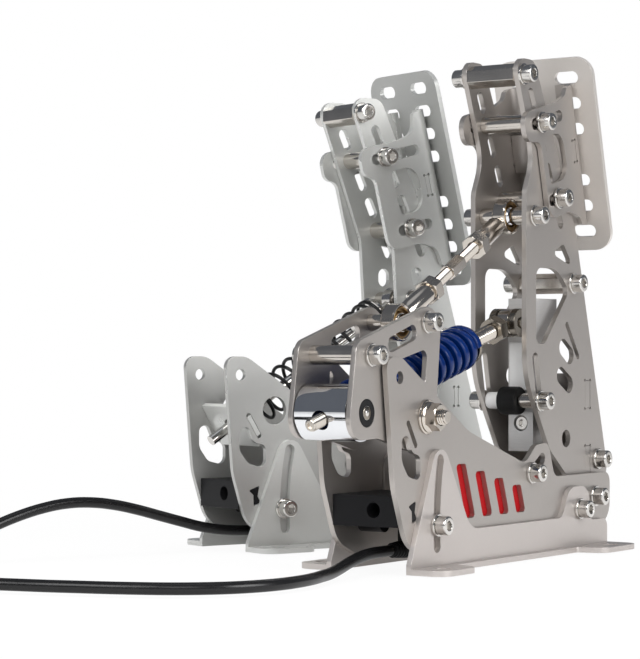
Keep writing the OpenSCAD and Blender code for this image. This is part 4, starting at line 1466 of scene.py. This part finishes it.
@dataclass
class Link:
    """The adjustable link between arm and rocker.

    Attributes:
        frame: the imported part.
        line: from the upper eye to the lower one.
        bore: bore of the lower eye, round the rocker's ball.
        ball_bore: radius of the bore in the upper ball.
        shank_l: end of an eye's shank, from the eye's middle.
        screwed_in: how far the thread goes into a shank.
    """

    frame: Frame
    line: Line = Line(Unit.BRAKE, (38.0, 190.0), (153.0, 129.0))
    eye_d: float = 20.0
    eye_t: float = 8.0
    bore: float = 14.7
    ball_d: float = 12.5
    ball_half: float = 4.2
    ball_bore: float = 3.15
    shank_d: float = 11.0
    shank_l: float = 34.0
    screwed_in: float = 13.0
    rod_d: float = 6.5
    nut_flats: float = 13.0
    nut_h: float = 7.0
    nut_gap: float = 0.1
    grip_flats: float = 8.2
    grip_half: float = 7.0

    def eye(self) -> Thing:
        """Eye with its flared shank along Z, and a bronze liner in it.

        Returns:
            The shape.
        """
        half, liner = self.eye_t / 2, self.bore / 2 + 1.0
        head = Bench.ring(liner, self.eye_d / 2, half, 0.7)
        r, low, last, wide = self.shank_d / 2, liner + 0.5, self.shank_l, self.eye_d / 2
        flare = [(0.0, low), (3.6, low), (4.2, wide + 0.6), (r, wide + 3.4)]
        shank = Bench.lathe([*flare, (r, last - 0.8), (r - 0.8, last), (0.0, last)])
        Bench.cut(head, shank, "UNION")
        Bench.smooth(head, Crease.EYE)
        Bench.paint(head, NICKEL)
        lining = Bench.paint(Bench.ring(self.bore / 2, liner - 0.15, half - 0.3, 0.3), BRONZE)
        Bench.smooth(lining, Crease.EYE)
        return Bench.join([lining, head], "eye")

    def ball(self) -> Thing:
        """The upper eye's ball with its bore, and the inner race round it.

        Returns:
            The shape.
        """
        r, half, bore, steps = self.ball_d / 2, self.ball_half, self.ball_bore, 14
        reach = math.asin(half / r)
        arc = [-reach + 2 * reach * k / steps for k in range(steps + 1)]
        profile = [(bore, half - 0.3), (bore, 0.3 - half)]
        made = Bench.lathe(profile + [(r * math.cos(a), r * math.sin(a)) for a in arc])
        made.data.transform(SIDEWAYS)
        Bench.smooth(made, Crease.DISC)
        Bench.paint(made, MIRROR)
        race = Bench.paint(Bench.ring(r + 0.05, self.bore / 2 + 0.1, self.eye_t / 2 - 0.8, 0.25), BRONZE)
        Bench.smooth(race, Crease.DISC)
        return Bench.join([race, made], "ball")

    def build(self) -> None:
        """Puts eyes, nuts and the threaded bar in place."""
        axes, length = self.line.axes, self.line.length
        far = axes @ lift(length) @ Matrix.Rotation(math.pi, 4, "X")
        eye, ball = self.eye(), self.ball()
        pieces = [Bench.copy(eye, far), Bench.copy(ball, axes), Bench.copy(eye, axes)]
        self.frame.assemble(pieces, "link_rod_ends")
        for spare in (eye, ball):
            bpy.data.objects.remove(spare)
        nut = Bench.nut(self.nut_flats, self.nut_h, self.rod_d + 0.2)
        first = self.shank_l + self.nut_gap
        places = [axes @ lift(z) for z in (first, length - first - self.nut_h)]
        nuts = Bench.spread(nut, places, "link_lock_nuts_detailed")
        Bench.smooth(nuts, Crease.NUT)
        self.frame.place(nuts, "link_lock_nuts", NICKEL)
        inside = self.shank_l - self.screwed_in
        bar = Thread(self.rod_d, inside, length - inside).model()
        grip = Bench.hexagon(self.grip_flats, length / 2 - self.grip_half, length / 2 + self.grip_half)
        Bench.smooth(grip, Crease.NUT)
        self.frame.assemble([bar, grip], "link_turnbuckle", NICKEL, axes)


@dataclass
class RockerPivot:
    """The two stub bolts that carry the rocker, measured outwards from the unit's middle.

    Attributes:
        frame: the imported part.
        place: the pivot in the side view.
        head: where a bolt's head begins and ends, and so for bush, washer and nut.
        end: where the bolt ends.
        pitch: rise of the thread in one turn.
    """

    frame: Frame
    place: Spot = (160.0, 80.0)
    bolt_d: float = 8.0
    head: Spot = (13.7, 15.7)
    bush: Spot = (20.0, 23.0)
    washer: Spot = (23.0, 24.6)
    nut: Spot = (24.7, 31.7)
    end: float = 35.7
    bush_r: float = 7.9
    washer_r: float = 9.0
    pitch: float = 1.25

    def turned(self) -> List[Thing]:
        """Bolt, bush, washer and the nut's collar.

        Returns:
            The four shapes.
        """
        r, wide, edge, nut = self.bolt_d / 2, self.bush_r, self.washer_r, self.nut[0]
        bore, (low, high) = r + 0.05, self.head
        bolt = [(0.0, low), (r + 2.0, low), (r + 2.5, low + 0.5), (r + 2.5, high), (r, high), (r, nut)]
        low, high = self.bush
        bush = [(bore, low), (wide, low), (wide, high), (bore, high)]
        low, high = self.washer
        washer = [(bore, low), (edge - 0.3, low), (edge, low + 0.3), (edge, high - 0.5), (edge - 0.5, high)]
        collar = [(r + 0.1, nut), (wide, nut), (8.1, nut + 0.4), (7.7, nut + 0.9), (6.4, nut + 1.6)]
        profiles = ([*bolt, (0.0, nut)], bush, [*washer, (bore, high)], [*collar, (r + 0.1, nut + 1.6)])
        made = [Bench.lathe(profile) for profile in profiles]
        for shape in made:
            Bench.smooth(shape, Crease.DISC)
        return made

    def model(self) -> Thing:
        """One stub bolt with bush, washer and nut, outwards along Z.

        Returns:
            The shape.
        """
        low, high = self.nut
        nut = Bench.nut(1.8 * self.bolt_d * math.cos(math.pi / 6), high - low, self.bolt_d)
        nut.data.transform(lift(low))
        tip = Thread(self.bolt_d, low + 1.0, self.end, self.pitch, 0.5).model()
        return Bench.join([*self.turned(), tip, nut], "stub_bolt")

    def build(self) -> None:
        """Puts one on each side."""
        middle, across = Unit.BRAKE.point(*self.place), Unit.BRAKE.across
        places = [stand(middle, across * side) for side in (1.0, -1.0)]
        pair = Bench.spread(self.model(), places, "rocker_pivot_bolts_detailed")
        self.frame.place(pair, "rocker_pivot_bolts", NICKEL)


@dataclass
class BrakeRod:
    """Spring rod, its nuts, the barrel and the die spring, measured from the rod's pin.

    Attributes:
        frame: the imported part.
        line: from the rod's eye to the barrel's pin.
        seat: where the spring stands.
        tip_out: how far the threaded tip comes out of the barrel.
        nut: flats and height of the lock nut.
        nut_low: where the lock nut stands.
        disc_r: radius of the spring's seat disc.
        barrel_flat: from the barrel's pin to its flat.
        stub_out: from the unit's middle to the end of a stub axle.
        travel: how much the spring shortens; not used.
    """

    frame: Frame
    line: Line = Line(Unit.BRAKE, (36.0, 130.0), (210.0, 83.0))
    seat: float = 51.0
    rod_d: float = 8.0
    tip_d: float = 7.0
    tip_out: float = 9.0
    nut: Spot = (13.8, 6.9)
    nut_low: float = 13.0
    disc_r: float = 11.0
    barrel_d: float = 29.0
    barrel_flat: float = 13.0
    stub_out: float = 19.0
    travel: float = 8.3

    def rod(self) -> None:
        """Eye, threaded shoulder, plain bar and threaded tip with its socket."""
        r, core, low = self.rod_d / 2, self.tip_d / 2 - 0.4, 5.6
        plain, out = self.line.length - self.barrel_d, self.line.length + self.barrel_d / 2
        end = out + self.tip_out
        eye = Bench.ring(3.2, 7.5, 4.0, 0.6)
        thick = [(0.0, low), (r, low), (r, plain - 0.6), (r - 0.5, plain)]
        bar = Bench.lathe([*thick, (core, plain), (core, end - 1.0), (0.0, end - 1.0)])
        Bench.cut(eye, bar, "UNION")
        Bench.smooth(eye, Crease.PLATE)
        shoulder = Thread(self.rod_d + 1.2, 20.0, self.seat - 2.0, 1.25).model()
        tip = Thread(self.tip_d, out - 6.0, end).model()
        Bench.cut(tip, Bench.cylinder(1.75, end - 2.2, end + 1.0))
        self.frame.assemble([shoulder, tip, eye], "brake_spring_rod", NICKEL, self.line.axes)

    def nuts(self) -> None:
        """Lock nut at the eye and the spring's seat disc."""
        low, high, r, bore = self.seat - 1.95, self.seat + 0.05, self.disc_r, 4.1
        section = [(r - 0.6, low), (r, low + 0.6), (r, high - 0.4), (r - 0.4, high)]
        disc = Bench.lathe([(bore, low), *section, (bore, high)])
        Bench.smooth(disc, Crease.DISC)
        nut = Bench.nut(*self.nut, self.rod_d + 0.2)
        nut.data.transform(lift(self.nut_low))
        self.frame.assemble([disc, nut], "brake_rod_nuts", DARK_STEEL_AND_PAINTED_SHADE, self.line.axes)

    def stub_ends(self) -> None:
        """A disc painted dark as the shade of a recess, with a bright button, on each end of the barrel's
        stub axles.
        """
        disc = Bench.lathe([(0.0, 0.0), (3.4, 0.0), (3.4, 0.1), (3.2, 0.25), (0.0, 0.25)], 32)
        # The disc's dark colour is painted shade where the end would lie in a recess.
        Bench.paint(disc, DARK_STEEL_AND_PAINTED_SHADE)
        dome = [(0.0, 0.2), (1.7, 0.2), (1.5, 0.42), (1.1, 0.56), (0.6, 0.63), (0.0, 0.65)]
        button = Bench.paint(Bench.lathe(dome, 24), CHROME)
        model = Bench.join([disc, button], "stub_end")
        Bench.smooth(model, Crease.SCREW)
        places = []
        for side in (-1.0, 1.0):
            outward = Unit.BRAKE.across * side
            middle = Unit.BRAKE.point(*self.line.toward)
            places.append(stand(middle + outward * (self.stub_out * MM), outward))
        piece = Bench.spread(model, places, "brake_barrel_stub_ends")
        self.frame.add(piece, "brake_barrel", "brake_barrel")

    def spring(self) -> None:
        """The die spring between seat and barrel."""
        free = self.line.length - self.barrel_flat - self.seat - 2 * SPRING_PLAY
        coil = Spring(self.line, self.seat + SPRING_PLAY, free, 25.0, (5.0, 4.6), 14, 1.2)
        coil.fit(self.frame, "brake_spring", BLUE_ENAMEL)

    def build(self) -> None:
        """Builds the pieces along the rod."""
        self.rod()
        self.nuts()
        self.frame.edged("brake_barrel", Edge.TURNED, MIRROR)
        self.stub_ends()
        self.spring()


@dataclass
class ThrottleReturn:
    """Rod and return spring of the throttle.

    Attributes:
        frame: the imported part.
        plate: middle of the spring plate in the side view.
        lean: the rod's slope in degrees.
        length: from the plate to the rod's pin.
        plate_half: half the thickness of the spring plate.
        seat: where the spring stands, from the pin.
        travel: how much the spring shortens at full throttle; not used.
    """

    frame: Frame
    plate: Spot = (174.25, 71.5)
    lean: float = 32.0
    length: float = 139.0
    plate_half: float = 1.5
    seat: float = 19.0
    travel: float = 31.24

    @property
    def pin(self) -> Spot:
        """The rod's pin in the side view."""
        a = math.radians(self.lean)
        return self.plate[0] - self.length * math.cos(a), self.plate[1] + self.length * math.sin(a)

    def build(self) -> None:
        """Dresses the rod and winds the spring."""
        self.frame.edged("throttle_spring_rod", Edge.TURNED, CHROME)
        free = self.length - self.plate_half - self.seat - 2 * SPRING_PLAY
        line = Line(Unit.THROTTLE, self.pin, self.plate)
        coil = Spring(line, self.seat + SPRING_PLAY, free, 24.0, (2.1, 2.1), 15, 1.04)
        coil.fit(self.frame, "throttle_spring", BLACK_WIRE)


@dataclass(frozen=True)
class SoftBox:
    """A soft box, in metres.

    Attributes:
        name: its name.
        place: where it stands.
        power: watts.
        size: its two sides.
        mirrored: whether bright metal shows it.
    """

    name: str
    place: Point
    power: float
    size: Spot
    mirrored: bool = True

    def build(self, aim: Point) -> None:
        """Sets it up, pointed at the aim.

        Args:
            aim: what it points at.
        """
        data = bpy.data.lights.new(self.name, "AREA")
        data.shape = "RECTANGLE"
        data.size, data.size_y = self.size
        data.energy = self.power
        lamp = Bench.new(self.name, data)
        lamp.location = self.place
        lamp.rotation_euler = (Vector(aim) - Vector(self.place)).to_track_quat("-Z", "Y").to_euler()
        lamp.visible_glossy = self.mirrored


@dataclass
class Studio:
    """Camera, floor, lamps and world, in metres.

    Attributes:
        shown_floor: share of plain white in the floor near the pedals.
        floor_fade: from where to where the floor turns plain white.
        floor_gloss: share of plain white in the floor that bright metal shows.
        ceiling_from: between which heights of view the wall turns to ceiling.
        skirting_to: between which heights of view the skirting turns to wall.
        fill: light of the room on matt surfaces.
        aim: what the lamps point at.
        boxes: key from the camera's left, fill from its right, one above the camera and a top light.
    """

    camera_place: Point = (-0.664, 1.1155, 0.1135)
    heading: Point = (0.566, -0.824, 0.0)
    focal_px: float = 2350.0
    image_height: float = 659.0
    horizon_px: float = 352.0
    sensor: float = 36.0
    floor_size: float = 14.0
    floor_z: float = -0.0005
    floor_matt: Colour = (0.86, 0.86, 0.86)
    shown_floor: float = 0.93
    floor_fade: Spot = (0.25, 0.7)
    floor_gloss: float = 0.4
    white: Colour = (1.0, 1.0, 1.0)
    wall: Colour = (0.12, 0.13, 0.15)
    ceiling: Colour = (0.55, 0.57, 0.60)
    ceiling_from: Spot = (0.93, 0.99)
    skirting: Colour = (0.95, 0.95, 0.95)
    skirting_to: Spot = (0.0, 0.06)
    fill: Colour = (0.40, 0.40, 0.41)
    aim: Point = (0.05, 0.0, 0.13)
    boxes: Tuple[SoftBox, ...] = (
        SoftBox("key", (0.2, 1.6, 1.1), 13.0, (0.9, 0.9)),
        SoftBox("fill", (-1.5, 0.1, 0.7), 18.0, (0.9, 0.9)),
        SoftBox("front", (-0.75, 1.3, 0.85), 4.0, (0.7, 0.7)),
        SoftBox("top", (0.0, -0.1, 1.7), 16.0, (1.4, 1.0), mirrored=False),
    )

    def camera(self) -> None:
        """The photograph's viewpoint."""
        data = bpy.data.cameras.new("photo_camera")
        data.sensor_width = self.sensor
        data.lens = self.focal_px * self.sensor / self.image_height
        data.clip_end = 20.0
        camera = Bench.new("photo_camera", data)
        pitch = math.atan2(self.horizon_px - self.image_height / 2, self.focal_px)
        ahead = Vector(self.heading).normalized() * math.cos(pitch) + Vector((0.0, 0.0, math.sin(pitch)))
        camera.location = self.camera_place
        camera.rotation_euler = ahead.to_track_quat("-Z", "Y").to_euler()
        bpy.context.scene.camera = camera

    def floor(self) -> None:
        """A white floor that keeps a faint shadow near the pedals and ends in plain white."""
        bpy.ops.object.select_all(action="DESELECT")
        bpy.ops.mesh.primitive_plane_add(size=self.floor_size, location=(0.0, 0.0, self.floor_z))
        plane = bpy.context.view_layer.objects.active
        plane.name = "studio_floor"
        material = bpy.data.materials.new("studio_white")
        material.use_nodes = True
        graph = Graph(material.node_tree)
        away = graph.node("ShaderNodeVectorMath", {"operation": "LENGTH"}, {0: graph.coords()}, "Value")
        plain = self.shown_floor + (1.0 - self.shown_floor) * graph.step(away, *self.floor_fade)
        white = graph.node("ShaderNodeEmission", inputs={"Color": _rgba(self.white), "Strength": 1.0})
        matt = graph.node("ShaderNodeBsdfDiffuse", inputs={"Color": _rgba(self.floor_matt)})
        share = graph.ray("Camera") * plain + graph.ray("Glossy") * self.floor_gloss
        shown = graph.node("ShaderNodeMixShader", inputs={0: share, 1: matt, 2: white})
        graph.node("ShaderNodeOutputMaterial", inputs={"Surface": shown})
        plane.data.materials.append(material)

    def world(self) -> None:
        """Dark walls and a light ceiling in the bright metal, even fill, and plain white to the camera."""
        world = bpy.data.worlds.new("studio_world")
        bpy.context.scene.world = world
        world.use_nodes = True
        graph = Graph(world.node_tree)
        up = graph.along((0.0, 0.0, 1.0), "Generated")
        walls = graph.mix(graph.step(up, *self.ceiling_from), self.wall, self.ceiling)
        horizon = graph.mix(graph.step(up, *self.skirting_to), self.skirting, walls)
        tone = graph.mix(graph.ray("Glossy"), self.fill, horizon)
        room = graph.node("ShaderNodeBackground", inputs={"Color": tone, "Strength": 1.0})
        white = graph.node("ShaderNodeBackground", inputs={"Color": _rgba(self.white), "Strength": 1.0})
        shown = graph.node("ShaderNodeMixShader", inputs={0: graph.ray("Camera"), 1: room, 2: white})
        graph.node("ShaderNodeOutputWorld", inputs={"Surface": shown})

    def build(self) -> None:
        """Sets everything up."""
        self.camera()
        self.floor()
        self.world()
        for box in self.boxes:
            box.build(self.aim)
        bpy.context.scene.view_settings.view_transform = "Standard"


def main() -> None:
    """Builds the scene piece by piece."""
    logging.basicConfig(level=logging.INFO, format="%(message)s")
    frame = Frame.load()
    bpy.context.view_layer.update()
    Studio().build()
    Cable("brake", BRAKE_ROUTE).build(frame)
    Cable("throttle", THROTTLE_ROUTE).build(frame)
    for assembly in (PlateWork, Glands, LoadCell, Link, RockerPivot, BrakeRod, ThrottleReturn, ScrewSets):
        assembly(frame).build()


if __name__ == "__main__":
    main()
